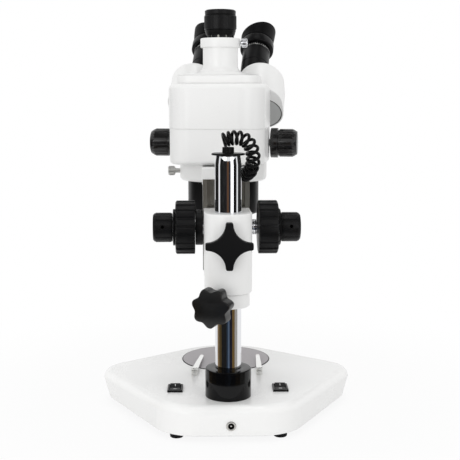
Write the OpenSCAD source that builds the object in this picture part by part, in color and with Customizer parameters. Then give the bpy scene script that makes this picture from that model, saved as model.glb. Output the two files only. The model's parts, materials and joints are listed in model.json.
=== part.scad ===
// Stereo zoom microscope with a third tube for a camera, on a pillar stand with a lit base.
// The origin is on the bench under the middle of the whole instrument, and the user sits at -Y.

/* [Base] */
// Height of the rubber feet
foot_h = 6; // [4:0.5:10]
// Height of the base casting
base_h = 28.3; // [24:0.1:40]
// Wall of the base casting
base_wall = 4; // [3:0.5:6]
// Thickness of the top deck of the base
deck = 5; // [4:0.5:8]
// Rounding of the top edge of the base
base_round = 7; // [3:0.5:9]
// Diameter of the stage plate
stage_d = 95; // [80:1:100]
// Thickness of the stage plate
stage_t = 5; // [4:0.5:6]
// Diameter of one rubber foot
foot_d = 14; // [10:1:18]
// Width of a rocker switch frame
switch_w = 15; // [12:0.5:18]
// Length of a rocker switch frame
switch_l = 21; // [18:0.5:26]
// Distance of each switch from the middle line
switch_x = 51.5; // [46:0.5:58]
// Free length of a stage clip
clip_l = 62; // [50:1:70]

/* [Pillar] */
// Distance of the pillar behind the middle of the instrument
pillar_y = 91.5; // [80:0.5:110]
// Diameter of the pillar
pillar_d = 25; // [20:0.5:28]
// Height of the pillar top above the bench
pillar_top = 264.6; // [240:0.1:300]
// Diameter of the black socket round the pillar foot
socket_d = 44; // [40:0.5:50]
// Height of the socket above the base
socket_h = 27.7; // [20:0.1:35]
// Diameter of the disc on top of the pillar
cap_d = 31; // [29:0.5:36]

/* [Stand] */
// Height of the underside of the focus housing above the bench
housing_z = 136; // [125:0.5:140]
// Height of the focus housing
housing_h = 75; // [72:0.5:78]
// Outer diameter of the focus housing round the pillar
housing_d = 45; // [42:0.5:50]
// Diameter of the stop collar
collar_d = 40.6; // [38:0.2:44]
// Height of the stop collar
collar_h = 13; // [10:0.5:16]
// Diameter of the lobed knob on the stop collar
lobe_d = 37.2; // [30:0.1:40]
// Direction of the lobed knob, away from straight back
lobe_turn = 21; // [0:1:40]
// Angle at which the lobes stand
lobe_rest = 15.2; // [0:0.1:51]
// Diameter of the cross knob on the housing
cross_d = 44; // [36:0.5:48]

/* [Focus drive] */
// Height of the focus shaft above the underside of the housing
shaft_up = 56; // [50:0.5:60]
// Distance of the focus shaft in front of the pillar
shaft_g = 38; // [36:0.5:40]
// Diameter of a coarse focus knob
coarse_d = 52.3; // [44:0.1:58]
// Width of a coarse focus knob
coarse_w = 19.5; // [16:0.5:22]
// Diameter of a fine focus knob
fine_d = 28.8; // [24:0.2:32]
// Width of a fine focus knob
fine_w = 18.9; // [14:0.1:22]
// Diameter of the hollow pinion shaft
shaft_d = 10; // [9:0.5:11]
// Tooth module of the rack and pinion
gear_m = 0.8; // [0.7:0.05:0.9]
// Number of pinion teeth
gear_n = 16; // [15:1:18]
// Width of the moving slide
slide_w = 46; // [44:0.5:50]
// Length of the moving slide
slide_l = 90; // [85:1:95]

/* [Arm] */
// Distance from the pillar to the optical axis
reach = 128; // [125:0.5:140]
// Outer diameter of the head ring
ring_d = 92; // [90:0.5:98]
// Height of the head ring
ring_h = 19; // [16:0.5:24]
// Height of the top of the head ring above the focus housing
arm_up = 39; // [35:0.5:43]
// Diameter of the seat of the head in the ring
seat_d = 76; // [72:0.1:80]
// Diameter of the objective barrel
barrel_d = 75; // [70:0.5:75.5]
// Length of the objective barrel below the ring
barrel_l = 43; // [35:1:50]
// Swing of the arm about the pillar
arm_swing = 1.1; // [-5:0.1:5]
// Turn of the head in the ring
head_turn = -10.4; // [-30:0.1:30]

/* [Head] */
// Width of the head body
head_w = 99; // [96:0.5:108]
// Depth of the head body
head_dp = 94; // [88:0.5:98]
// Radius of the upright corners of the head body
head_r = 26; // [20:0.5:32]
// Height of the lower shell of the head
lower_h = 36; // [34:0.5:40]
// Height of the upper shell of the head
upper_h = 45; // [42:0.5:46]
// Height of the cap plate on top of the head
plate_h = 8.5; // [7:0.5:10]
// Distance of the middle of the head body behind the optical axis
head_back = 20; // [18:0.5:22]
// Height of the zoom shaft above the underside of the head
zoom_up = 19.7; // [18:0.1:21]
// Diameter of a zoom knob
zoom_d = 29.3; // [26:0.1:31]
// Distance from the middle of the head to the end of a zoom knob
zoom_end = 78.3; // [74:0.1:82]

/* [Camera tube] */
// Diameter of the white camera tube
tube_d = 35.8; // [34:0.1:38]
// Height of the white camera tube above the head
tube_h = 28; // [24:0.5:32]
// Diameter of the clamp ring at the end of the tube
clamp_d = 40.8; // [39:0.1:44]
// Height of the clamp ring
clamp_h = 9.5; // [8:0.5:12]
// Diameter of the knurled adapter sleeve
sleeve_d = 33.1; // [30:0.1:35]
// Height of the knurled adapter sleeve
sleeve_h = 14.6; // [12:0.1:18]

/* [Eyepieces] */
// Angle of the eyepieces above level
view_angle = 45; // [43:0.5:47]
// Distance of each prism pivot from the middle line
pivot_x = 38.4; // [37:0.1:40]
// Distance of each eyepiece from the middle line
eye_x = 27.5; // [27:0.1:32]
// Radius of the pivot end of a prism housing
prism_r1 = 23.5; // [22:0.1:24]
// Radius of the eyepiece end of a prism housing
prism_r2 = 25; // [22:0.1:26]
// Length of a prism housing along the eyepiece
prism_l = 42; // [38:0.5:46]
// Diameter of an eyepiece barrel
eye_d = 30; // [28:0.2:32]
// Length of an eyepiece barrel outside the housing
eye_l = 40; // [34:0.5:46]
// Diameter of a dioptre ring
ring_eye_d = 37; // [34:0.2:39]
// Diameter of an eyecup
cup_d = 38; // [35:0.2:40]
// Height of the low side of an eyecup
cup_low = 10; // [8:0.5:14]
// Height of the high side of an eyecup
cup_high = 23; // [18:0.5:26]

/* [Hidden] */
$fn = 96;
eps = 0.01;
// Clearance of a shaft that runs in a bore
run = 0.05;
// Clearance of a piece that is fixed in its seat
fit = 0.02;
// Gap between pieces that move past each other
gap = 0.3;

// Length of a cut that goes right through whatever it meets
through = 400;

// Base outline as discs: distance from the middle line, distance in front of the pillar, radius
base_rear = [28, 13, 49];
base_flank = [58, 56, 45];
base_side = [97, 94, 32];
base_nose = [0, 115, 75];
base_discs = [base_rear, base_flank, base_side, base_nose];
base_top = foot_h + base_h;
plate_t = 1.5;
foot_rear = [49, -18];
foot_front = [72, 138];
foot_places = [foot_rear, foot_front];
stage_z = base_top + 0.5 - stage_t;
stage_ledge = 4;
socket_floor = 4;
pillar_z = base_top + socket_floor;
pillar_cone = 8.6;
pillar_bore = 14;
cap_t = 1.8;
cap_boss_d = 11;
cap_boss_h = 5.6;
jack_x = -2;
jack_z = 16;
jack_d = 9;
clip_x = 33.5;
clip_g = 67;
clip_post_d = 6.7;
clip_post_h = 8;
switch_g = 19;
rocker_tilt = 9;
rocker_pin_r = 1;
switch_rim = 2;
switch_depth = 14;

bore_d = pillar_d + 2 * run;
collar_z = housing_z - 0.5 - collar_h;
knob_gap = 11;
lobe_from = housing_d / 2 + knob_gap;
lobe_wall = 14;
lobe_dome = 5;
lobe_wave = 1.8;
lobe_n = 7;
lobe_z = collar_z + collar_h / 2;
cross_from = housing_d / 2 + 4;
cross_h = 8;
cross_z = housing_z + 47.4;
stud_r = 4;
neck_gap = 1.5;
knob_neck_r = collar_h / 2 - neck_gap;

housing_top = housing_z + housing_h;
shaft_z = housing_z + shaft_up;
block_w = housing_d;
block_front = shaft_g + 7.5;
block_z = housing_z + 12;
bush_r = shaft_d / 2 + 2.5;
bush_end = housing_d / 2 + 7.8;
coarse_from = bush_end + 0.5;
coarse_end = coarse_from + coarse_w;
cheek_t = 2;
cheek_d = 35.7;
fine_from = coarse_end + cheek_t + 0.5;
fine_end = fine_from + fine_w;
fine_shaft_r = 3;
rib_n = 20;
fine_groove_n = 10;

gear_r = gear_m * gear_n / 2;
gear_base = gear_r * cos(20);
gear_tip = gear_r + 0.85 * gear_m;
gear_root = gear_r - 1.2 * gear_m;
gear_w = 9;
backlash = 0.06;
rack_w = 8;
rack_pitch = PI * gear_m;
ring_top = housing_top + arm_up;
slide_top = ring_top - 12;
slide_wall = 3.3;
slide_web = 6;
slide_back = block_front + gap;
guide_t = 10;
slide_front = block_front + guide_t + gap + slide_web;
guide_w = slide_w - 2 * slide_wall - 0.2;
flare = 1.2;
slot_w = rack_w + 4;

ring_z = ring_top - ring_h;
arm_w = slide_w + 1;
bracket_t = 5;
gland_x = -17;
gland_z = ring_top - 6;
gland_d = 11;
gland_l = 5;
lamp_r = 6.5;
lamp_l = 20;

head_z = ring_top + gap;
seam_z = head_z + lower_h;
upper_top = seam_z + upper_h;
plate_top = upper_top + plate_h;
shell_wall = 4;
// Round flange under the head that rests on the ring
flange_r = ring_d / 2 - 1;
flange_h = 7;
zoom_z = head_z + zoom_up;
zoom_f = 5;
zoom_flange = 7.5;
zoom_shaft_r = 4;
tube_top = plate_top + tube_h;
clamp_top = tube_top + clamp_h;
neck_h = 3;
cone_h = 5.5;
sleeve_z = clamp_top + neck_h + cone_h;
sleeve_top = sleeve_z + sleeve_h;
dust_h = 5.5;

// Foot of the prism pivots on the sloping face of the head
pivot_f = 20;
pivot_z = head_z + 50.7;
pivot_r = 9;
pivot_l = 7;
eye_up = 13.4;
cover_t = 1.6;
cover_gap = 0.3;
spigot_r = 11.5;
spigot_l = 22;
neck_r = 13;
dioptre_h = 11;
cup_wall = 2.2;

// Points of the curly cord on the route of its middle: across, forward of the pillar, height
cord_d = 14.4;
cord_route = [
    [0, 0, 272], [-1, 0, 276], [-4, 0, 279.5], [-9, 1, 281], [-14.5, 2, 279.5],
    [-19, 3.5, 275.5], [-22, 5.5, 270], [-23.5, 8, 263.5], [-23.5, 11, 257.5],
    [-22.5, 14.5, 252], [-21, 19, 248], [-19, 24, 245.5], [-17.5, 29, 244.3],
    [-17, 34, 244], [-17, 39, 244]
];

// Frames: each has its own origin, and forward is -Y in all of them
module at_pillar() {
    translate([0, pillar_y, 0]) children();
}
module on_carrier() {
    at_pillar() rotate([0, 0, arm_swing]) children();
}
module in_ring() {
    on_carrier() translate([0, -reach, 0]) children();
}
module on_head() {
    in_ring() rotate([0, 0, head_turn]) children();
}
// Side is 1 for the tube on the left as seen from behind, at +X, and -1 for the other
module on_prism(side) {
    on_head() translate([side * pivot_x, -pivot_f, pivot_z])
        rotate([90 - view_angle, 0, 0]) children();
}
module on_eyepiece(side) {
    on_prism(side) translate([-side * (pivot_x - eye_x), eye_up, 0]) children();
}
module along_x(width) {
    rotate([90, 0, 90]) linear_extrude(width, center = true) children();
}

// A disc with a rounded top edge
module puck(r, h, edge, sides = 72) {
    rotate_extrude($fn = sides)
        polygon(concat(
            [[0, 0], [r, 0]],
            [for (a = [0:22.5:90]) [r - edge + edge * cos(a), h - edge + edge * sin(a)]],
            [[0, h]]
        ));
}
// A disc with both edges rounded
module pebble(r, h, low, top, sides = 48) {
    rotate_extrude($fn = sides)
        polygon(concat(
            [[0, 0]],
            [for (a = [-90:22.5:0]) [r - low + low * cos(a), low + low * sin(a)]],
            [for (a = [0:22.5:90]) [r - top + top * cos(a), h - top + top * sin(a)]],
            [[0, h]]
        ));
}
// A turned piece with a small chamfer on both ends, standing on the origin
module turned(r, h, edge = 0.6) {
    rotate_extrude()
        polygon([[0, 0], [r - edge, 0], [r, edge], [r, h - edge], [r - edge, h], [0, h]]);
}
// A tube standing on the origin
module tube(outer, inner, h) {
    difference() {
        cylinder(r = outer, h = h);
        translate([0, 0, -eps]) cylinder(r = inner, h = h + 2 * eps);
    }
}
module rounded_rect(w, l, r) {
    polygon([for (q = [0:3], a = [0:15:90])
        let (sx = q == 0 || q == 3 ? 1 : -1, sy = q < 2 ? 1 : -1)
        [sx * (w / 2 - r) + r * cos(q * 90 + a), sy * (l / 2 - r) + r * sin(q * 90 + a)]]);
}

// Outline of the base at one inset, as a hull of its discs
module base_form(inset, h, edge) {
    hull()
        for (d = base_discs, s = [-1, 1])
            translate([s * d[0], -d[1], 0]) puck(d[2] - inset, h, edge);
}
module at_feet() {
    for (p = foot_places, s = [-1, 1])
        translate([s * p[0], -p[1], 0]) children();
}
module at_socket_bolts() {
    for (a = [30, 150, 270])
        rotate([0, 0, a]) translate([socket_d / 2 - 5.2, 0, 0]) children();
}
module at_switches() {
    for (s = [-1, 1]) translate([s * switch_x, -switch_g, 0]) children();
}

module base_shell() {
    color([0.9, 0.9, 0.9]) at_pillar() difference() {
        union() {
            difference() {
                translate([0, 0, foot_h]) base_form(0, base_h, base_round);
                translate([0, 0, foot_h - eps]) base_form(base_wall, base_h - deck, 2);
            }
            translate([0, -reach, base_top - deck - 6])
                cylinder(d = stage_d + 10, h = deck + 5);
            at_feet() translate([0, 0, foot_h + plate_t])
                cylinder(r = 5, h = base_h - plate_t - deck + 1);
        }
        translate([0, -reach, stage_z]) cylinder(d = stage_d + 0.4, h = base_h);
        translate([0, -reach, 0]) cylinder(d = stage_d - 2 * stage_ledge, h = base_h * 2);
        at_feet() translate([0, 0, foot_h]) cylinder(r = 1.55, h = 16);
        at_socket_bolts() translate([0, 0, foot_h]) cylinder(r = 2.6, h = base_h + 1);
        cylinder(r = 5, h = base_h * 2);
        at_switches() translate([0, 0, base_top - deck / 2])
            cube([switch_w - 2 + 0.4, switch_l - 2 + 0.4, deck + 2], center = true);
        for (s = [-1, 1]) translate([s * clip_x, -clip_g, base_top - deck - 1])
            cylinder(r = 2 + fit, h = deck + 2);
        translate([jack_x, 0, jack_z]) rotate([-90, 0, 0])
            cylinder(d = jack_d - 1 + 2 * fit, h = 60);
    }
}
module base_plate() {
    color([0.45, 0.46, 0.48]) at_pillar() difference() {
        union() {
            translate([0, 0, foot_h]) base_form(base_wall + gap, plate_t, 0.2);
            for (a = [0:120:240]) translate([0, -reach, foot_h + plate_t - eps])
                rotate([0, 0, a]) translate([30, 0, 0]) cylinder(r = 3, h = 7);
        }
        at_feet() translate([0, 0, -eps]) cylinder(r = 1.7, h = 20);
    }
}
module rubber_feet() {
    color([0.08, 0.08, 0.08]) at_pillar() at_feet() difference() {
        rotate_extrude()
            polygon([[0, 0], [foot_d / 2 - 1.2, 0], [foot_d / 2 - 0.7, 0.5],
                [foot_d / 2, foot_h], [0, foot_h]]);
        translate([0, 0, -eps]) cylinder(r = 3.4, h = 3);
        cylinder(r = 1.7, h = foot_h * 2);
    }
}
module base_screws() {
    color([0.7, 0.7, 0.72]) at_pillar() {
        at_feet() {
            translate([0, 0, 1.2]) cylinder(r = 3.1, h = 1.8 - eps);
            translate([0, 0, 2]) cylinder(r = 1.5, h = foot_h + 12);
        }
        at_socket_bolts() {
            translate([0, 0, base_top - deck - 4 - 2 * eps]) cylinder(r = 4, h = 4);
            translate([0, 0, base_top - deck - 1]) cylinder(r = 2.5, h = deck + 13);
        }
    }
}
module stage_plate() {
    color([0.68, 0.68, 0.69]) at_pillar() translate([0, -reach, stage_z])
        turned(stage_d / 2, stage_t, 0.5);
}
module lamp_board() {
    color([0.1, 0.4, 0.2]) at_pillar() translate([0, -reach, foot_h + plate_t + 7]) {
        cylinder(r = 38, h = 1.6);
        for (ring = [[12, 6], [28, 12]], a = [0:360 / ring[1]:359])
            rotate([0, 0, a]) translate([ring[0], 0, 1.6 - eps]) cylinder(r = 2.5, h = 2);
    }
}
module pillar_socket() {
    color([0.05, 0.05, 0.06]) at_pillar() difference() {
        translate([0, 0, base_top]) rotate_extrude()
            polygon([[0, 0], [socket_d / 2, 0], [socket_d / 2, socket_h - 1.2],
                [socket_d / 2 - 0.4, socket_h - 0.4], [socket_d / 2 - 1.2, socket_h],
                [0, socket_h]]);
        translate([0, 0, pillar_z]) cylinder(d = pillar_d + 2 * fit, h = socket_h);
        cylinder(r = 5, h = pillar_z + 1);
        at_socket_bolts() cylinder(r = 2.6, h = base_top + 12.5);
    }
}
module pillar() {
    color([0.8, 0.8, 0.82]) at_pillar() difference() {
        rotate_extrude()
            polygon([[0, pillar_z], [pillar_d / 2, pillar_z],
                [pillar_d / 2, pillar_top - pillar_cone], [pillar_d / 2 - 1.15, pillar_top],
                [0, pillar_top]]);
        cylinder(d = pillar_bore, h = pillar_top * 2);
    }
}
module pillar_cap() {
    color([0.06, 0.06, 0.07]) at_pillar() rotate_extrude()
        polygon([[0, pillar_top - 6], [pillar_bore / 2 - 0.1, pillar_top - 6],
            [pillar_bore / 2 - 0.1, pillar_top], [cap_d / 2 - 0.3, pillar_top],
            [cap_d / 2, pillar_top + 0.3], [cap_d / 2, pillar_top + cap_t - 0.5],
            [cap_d / 2 - 0.5, pillar_top + cap_t], [cap_boss_d / 2, pillar_top + cap_t],
            [cap_boss_d / 2, pillar_top + cap_t + cap_boss_h],
            [0, pillar_top + cap_t + cap_boss_h]]);
}
module power_jack() {
    rear = -base_rear[1] + base_rear[2];
    color([0.7, 0.7, 0.72]) at_pillar() translate([jack_x, rear, jack_z]) rotate([90, 0, 0]) {
        difference() {
            union() {
                translate([0, 0, -1]) cylinder(d = jack_d, h = 1);
                cylinder(d = jack_d - 1, h = 14);
            }
            translate([0, 0, -2]) cylinder(r = 2.85, h = 12);
        }
        translate([0, 0, -0.2]) cylinder(r = 1.05, h = 11);
    }
}
module switch_bezels() {
    color([0.05, 0.05, 0.05]) at_pillar() at_switches() difference() {
        union() {
            translate([0, 0, base_top]) linear_extrude(2) rounded_rect(switch_w, switch_l, 1);
            translate([0, 0, base_top - switch_depth]) linear_extrude(switch_depth + eps)
                square([switch_w - 2, switch_l - 2], center = true);
        }
        translate([0, 0, base_top - switch_depth + 5]) linear_extrude(switch_depth)
            square([switch_w - 2 * switch_rim, switch_l - 2 * switch_rim], center = true);
        translate([0, 0, base_top]) rotate([0, 90, 0])
            cylinder(r = rocker_pin_r + run, h = switch_w - 2 * switch_rim + 1.4, center = true);
    }
}
// The rocker tilts on two short pins in the walls of its frame, level with the deck
module rocker(side) {
    color([0.04, 0.04, 0.04]) at_pillar() translate([side * switch_x, -switch_g, base_top])
        rotate([-rocker_tilt, 0, 0]) {
            along_x(switch_w - 2 * switch_rim - 1)
                polygon([[-7.4, -1], [0, -4], [7.4, -1], [7.6, 2], [0, 3.2], [-7.6, 2]]);
            rotate([0, 90, 0])
                cylinder(r = rocker_pin_r, h = switch_w - 2 * switch_rim + 1, center = true);
        }
}
module rocker_left() {
    rocker(1);
}
module rocker_right() {
    rocker(-1);
}
module clip_posts() {
    color([0.75, 0.75, 0.76]) at_pillar() for (s = [-1, 1])
        translate([s * clip_x, -clip_g, 0]) {
            translate([0, 0, base_top - deck]) cylinder(r = 2, h = deck + 5);
            translate([0, 0, base_top]) cylinder(d = clip_post_d, h = 3.5);
            translate([0, 0, base_top + 5])
                turned(clip_post_d / 2, clip_post_h - 5, 0.4);
        }
}
// A spring blade with a ring round the post and a lifted toe
module stage_clip(side, toe_x) {
    along = sqrt(pow(clip_x - toe_x * side, 2) + pow(clip_l, 2));
    turn = atan2(-(clip_x - toe_x * side) * side, clip_l);
    color([0.8, 0.8, 0.8]) at_pillar() translate([side * clip_x, -clip_g, base_top + 3.8])
        rotate([0, 0, turn]) difference() {
            union() {
                cylinder(d = clip_post_d, h = 1);
                linear_extrude(1) polygon([[-3.2, 0], [3.2, 0], [1.5, -along], [-1.5, -along]]);
            }
            translate([0, 0, -1]) cylinder(r = 2 + run, h = 3);
        }
}
module stage_clip_left() {
    stage_clip(1, 26);
}
module stage_clip_right() {
    stage_clip(-1, -35);
}

module stop_collar() {
    color([0.9, 0.9, 0.9]) at_pillar() difference() {
        union() {
            translate([0, 0, collar_z]) turned(collar_d / 2, collar_h, 0.8);
            rotate([0, 0, -lobe_turn]) translate([0, 0, lobe_z]) rotate([-90, 0, 0])
                cylinder(r = 6.2, h = collar_d / 2 + 0.8);
        }
        cylinder(d = bore_d, h = housing_z + 50);
        rotate([0, 0, -lobe_turn]) translate([0, 0, lobe_z]) rotate([-90, 0, 0])
            cylinder(r = stud_r - 1 + run, h = 60);
    }
}
// Outline with round lobes for a clamping knob
module lobed(r, n, depth) {
    polygon([for (a = [0:3:359]) (r - depth + depth * cos(n * a)) * [cos(a), sin(a)]]);
}
module collar_knob() {
    r = lobe_d / 2;
    color([0.04, 0.04, 0.04]) at_pillar() rotate([0, 0, -lobe_turn]) translate([0, 0, lobe_z])
        rotate([-90, 0, 0]) {
            translate([0, 0, lobe_from]) intersection() {
                rotate([0, 0, -lobe_rest]) linear_extrude(lobe_wall + lobe_dome)
                    lobed(r, lobe_n, lobe_wave);
                rotate_extrude() polygon(concat([[0, 0], [r * 1.06, 0]],
                    [for (q = [1.06, 1, 0.9, 0.78, 0.65, 0.5, 0.35, 0.18, 0])
                        [r * q, lobe_wall + lobe_dome * (1 - q * q)]]));
            }
            translate([0, 0, collar_d / 2 + 1])
                cylinder(r = knob_neck_r, h = lobe_from - collar_d / 2 - 1 + eps);
            translate([0, 0, pillar_d / 2 + 0.5]) cylinder(r = stud_r - 1, h = 12);
        }
}

module focus_housing() {
    color([0.9, 0.9, 0.9]) on_carrier() difference() {
        union() {
            translate([0, 0, housing_z]) turned(housing_d / 2, housing_h, 1);
            translate([-block_w / 2, -block_front, block_z])
                cube([block_w, block_front, housing_top - block_z - 1]);
            translate([0, 0, cross_z]) rotate([-90, 0, 0]) cylinder(r = 8, h = cross_from - 1.2);
        }
        cylinder(d = bore_d, h = through);
        translate([0, 0, cross_z]) rotate([-90, 0, 0]) cylinder(r = stud_r + run, h = 60);
        translate([0, -shaft_g, shaft_z]) {
            rotate([0, 90, 0]) cylinder(r = gear_tip + 1, h = slot_w, center = true);
            rotate([0, 90, 0]) cylinder(r = bush_r + fit, h = block_w + 2, center = true);
        }
        translate([-slot_w / 2, -block_front - 1, block_z - 1]) cube([slot_w, 3.6, through]);
    }
}
module cross_knob() {
    corner = cross_d / 2 - 0.8;
    color([0.07, 0.07, 0.07]) on_carrier() translate([0, 0, cross_z]) rotate([-90, 0, 0]) {
        translate([0, 0, cross_from]) linear_extrude(cross_h) difference() {
            circle(d = cross_d);
            for (a = [45:90:359])
                rotate([0, 0, a]) translate([corner * sqrt(2), 0]) circle(r = corner - 3.4);
        }
        translate([0, 0, cross_from - 0.9]) cylinder(r = 7, h = 1);
        translate([0, 0, pillar_d / 2 + 0.5]) cylinder(r = stud_r, h = cross_from - pillar_d / 2);
    }
}
// Dovetail tongue that the moving slide wraps, split down the middle for the rack
module slide_guide() {
    color([0.55, 0.55, 0.56]) on_carrier() difference() {
        translate([0, 0, block_z]) linear_extrude(housing_top - block_z - 1)
            polygon([[-guide_w / 2 + flare, -block_front], [guide_w / 2 - flare, -block_front],
                [guide_w / 2, -block_front - guide_t], [-guide_w / 2, -block_front - guide_t]]);
        translate([-slot_w / 2, -block_front - guide_t - 1, block_z - 1])
            cube([slot_w, guide_t + 2, through]);
    }
}
module shaft_bushes() {
    inner = slot_w / 2;
    color([0.8, 0.8, 0.82]) on_carrier() translate([0, -shaft_g, shaft_z])
        for (s = [-1, 1]) rotate([0, 90 * s, 0]) translate([0, 0, inner])
            tube(bush_r, shaft_d / 2 + run, bush_end - inner);
}
// Black drum on one side that sets how stiff the focus turns
module tension_ring() {
    from = max(slide_w, block_w) / 2 + gap;
    l = bush_end - gap - from;
    r = 17.4;
    color([0.06, 0.06, 0.06]) on_carrier() translate([from, -shaft_g, shaft_z])
        rotate([0, 90, 0]) difference() {
            rotate_extrude() polygon([[0, 0], [r - 0.9, 0], [r - 0.9, 1.7], [r, 2.5],
                [r, l - 1], [r - 1, l], [0, l]]);
            translate([0, 0, -1]) cylinder(r = bush_r + run, h = l + 2);
        }
}

// Half the angle of a pinion tooth at one radius, for involute flanks
function involute(r) = let (t = acos(gear_base / r)) tan(t) * 180 / PI - t;
function half_tooth(r) =
    90 / gear_n - backlash * 180 / PI / gear_r + involute(gear_r) - involute(r);
module pinion_outline() {
    steps = 5;
    radii = [for (i = [0:steps]) gear_base + 0.001 + (gear_tip - gear_base - 0.001) * i / steps];
    foot = half_tooth(radii[0]);
    polygon([for (k = [0:gear_n - 1]) let (c = 360 * k / gear_n) each concat(
        [gear_root * [cos(c - foot), sin(c - foot)]],
        [for (r = radii) r * [cos(c - half_tooth(r)), sin(c - half_tooth(r))]],
        [for (i = [steps:-1:0]) let (r = radii[i]) r * [cos(c + half_tooth(r)), sin(c + half_tooth(r))]],
        [gear_root * [cos(c + foot), sin(c + foot)]])]);
}
// The pinion and its hollow shaft are one turned piece, and a cheek ring closes each knob
module coarse_shaft() {
    color([0.75, 0.75, 0.77]) on_carrier() translate([0, -shaft_g, shaft_z]) {
        difference() {
            union() {
                along_x(gear_w) rotate([0, 0, gear_n % 2 == 0 ? 0 : 180 / gear_n])
                    pinion_outline();
                rotate([0, 90, 0])
                    cylinder(d = shaft_d, h = 2 * (coarse_end + cheek_t), center = true);
            }
            rotate([0, 90, 0]) cylinder(r = fine_shaft_r + run, h = through, center = true);
        }
        for (s = [-1, 1]) rotate([0, 90 * s, 0]) translate([0, 0, coarse_end + fit])
            difference() {
                turned(cheek_d / 2, cheek_t - fit, 0.5);
                translate([0, 0, -1]) cylinder(d = shaft_d + 2 * fit, h = cheek_t + 2);
            }
    }
}
module coarse_knob(side) {
    color([0.06, 0.06, 0.06]) on_carrier() translate([0, -shaft_g, shaft_z])
        rotate([0, 90 * side, 0]) translate([0, 0, coarse_from]) difference() {
            rotate_extrude() polygon([[0, 0], [coarse_d / 2 - 1, 0], [coarse_d / 2, 1],
                [coarse_d / 2, coarse_w - 2.5], [coarse_d / 2 - 1.8, coarse_w],
                [0, coarse_w]]);
            translate([0, 0, -1]) cylinder(d = shaft_d + 2 * fit, h = coarse_w + 2);
            for (a = [0:360 / rib_n:359]) rotate([0, 0, a])
                translate([coarse_d / 2 + 0.6, 0, -1]) cylinder(r = 1.7, h = coarse_w + 2, $fn = 24);
        }
}
module coarse_knob_left() {
    coarse_knob(1);
}
module coarse_knob_right() {
    coarse_knob(-1);
}
module fine_knob(side) {
    color([0.06, 0.06, 0.06]) on_carrier() translate([0, -shaft_g, shaft_z])
        rotate([0, 90 * side, 0]) difference() {
            translate([0, 0, fine_from]) rotate_extrude()
                polygon([[0, 0], [fine_d / 2 - 0.8, 0], [fine_d / 2, 0.8],
                    [fine_d / 2, fine_w - 2.5], [fine_d / 2 - 1.2, fine_w - 0.6],
                    [fine_d / 2 - 2.2, fine_w], [0, fine_w]]);
            translate([0, 0, fine_from - 1]) cylinder(r = fine_shaft_r + fit, h = fine_w - 3);
            translate([0, 0, fine_from + fine_w / 2]) rotate([-90, 0, 0])
                cylinder(r = 1.7, h = fine_d);
            for (a = [0:fine_groove_n - 1]) rotate([0, 0, (a + 0.4) * 360 / fine_groove_n])
                translate([fine_d / 2 + 0.2, 0, fine_from + 1.5])
                    cylinder(r = 0.6, h = fine_w, $fn = 16);
        }
}
// The fine shaft runs through the hollow pinion shaft and is held in this knob
module fine_knob_left() {
    fine_knob(1);
    color([0.75, 0.75, 0.77]) on_carrier() translate([0, -shaft_g, shaft_z])
        rotate([0, 90, 0])
            cylinder(r = fine_shaft_r, h = 2 * (fine_end - 4.2), center = true);
}
module fine_knob_right() {
    fine_knob(-1);
}

module focus_slide() {
    mouth = guide_w / 2 - flare + 0.1;
    floor_w = guide_w / 2 + 0.1;
    color([0.55, 0.55, 0.56]) on_carrier() translate([0, 0, slide_top - slide_l])
        linear_extrude(slide_l) polygon([
            [-slide_w / 2, -slide_back], [-mouth, -slide_back],
            [-floor_w, -slide_front + slide_web], [floor_w, -slide_front + slide_web],
            [mouth, -slide_back], [slide_w / 2, -slide_back],
            [slide_w / 2, -slide_front], [-slide_w / 2, -slide_front]]);
}
module focus_rack() {
    line = shaft_g + gear_r;
    depth = slide_front - slide_web;
    tip = 0.85 * gear_m;
    root = 1.2 * gear_m;
    half = rack_pitch / 4 - backlash;
    teeth = 13;
    low = shaft_z - (teeth + 1) * rack_pitch;
    high = shaft_z + (teeth + 1) * rack_pitch;
    color([0.72, 0.6, 0.32]) on_carrier() along_x(rack_w) polygon(concat(
        [[-depth, low], [-line - root, low]],
        [for (k = [-teeth:teeth - 1]) let (z = shaft_z + (k + 0.5) * rack_pitch) each [
            [-line - root, z - half - root * tan(20)], [-line + tip, z - half + tip * tan(20)],
            [-line + tip, z + half - tip * tan(20)], [-line - root, z + half + root * tan(20)]]],
        [[-line - root, high], [-depth, high]]));
}
module ring_arm() {
    color([0.9, 0.9, 0.9]) on_carrier() difference() {
        union() {
            translate([0, -reach, ring_z]) pebble(ring_d / 2, ring_h, 4, 1, 96);
            translate([-arm_w / 2, -reach + ring_d / 2 - 6, ring_z])
                cube([arm_w, reach - ring_d / 2 + 6 - slide_front, ring_h - 0.5]);
            translate([-arm_w / 2, -slide_front - 4, slide_top])
                cube([arm_w, slide_front + 4 - block_front + 1.5, ring_top - slide_top - 0.5]);
            translate([-slide_w / 2, -slide_front - bracket_t, slide_top - 44])
                cube([slide_w, bracket_t, 50]);
            translate([0, -reach, ring_z + ring_h / 2]) rotate([0, 90, 0])
                cylinder(r = 4.5, h = ring_d / 2 + 0.5);
        }
        translate([0, -reach, 0]) cylinder(d = seat_d + 2 * run, h = through);
        translate([0, -reach, ring_z + ring_h / 2]) rotate([0, 90, 0])
            cylinder(r = 2.5 + run, h = 60);
        translate([0, -slide_front - bracket_t - 8.5, ring_z - 1]) cylinder(r = lamp_r - 0.5, h = 9);
    }
}
module cord_gland() {
    color([0.06, 0.06, 0.06]) on_carrier()
        translate([gland_x, -block_front + 1.5, gland_z]) rotate([-90, 0, 0])
            turned(gland_d / 2, gland_l, 0.4);
}
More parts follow.
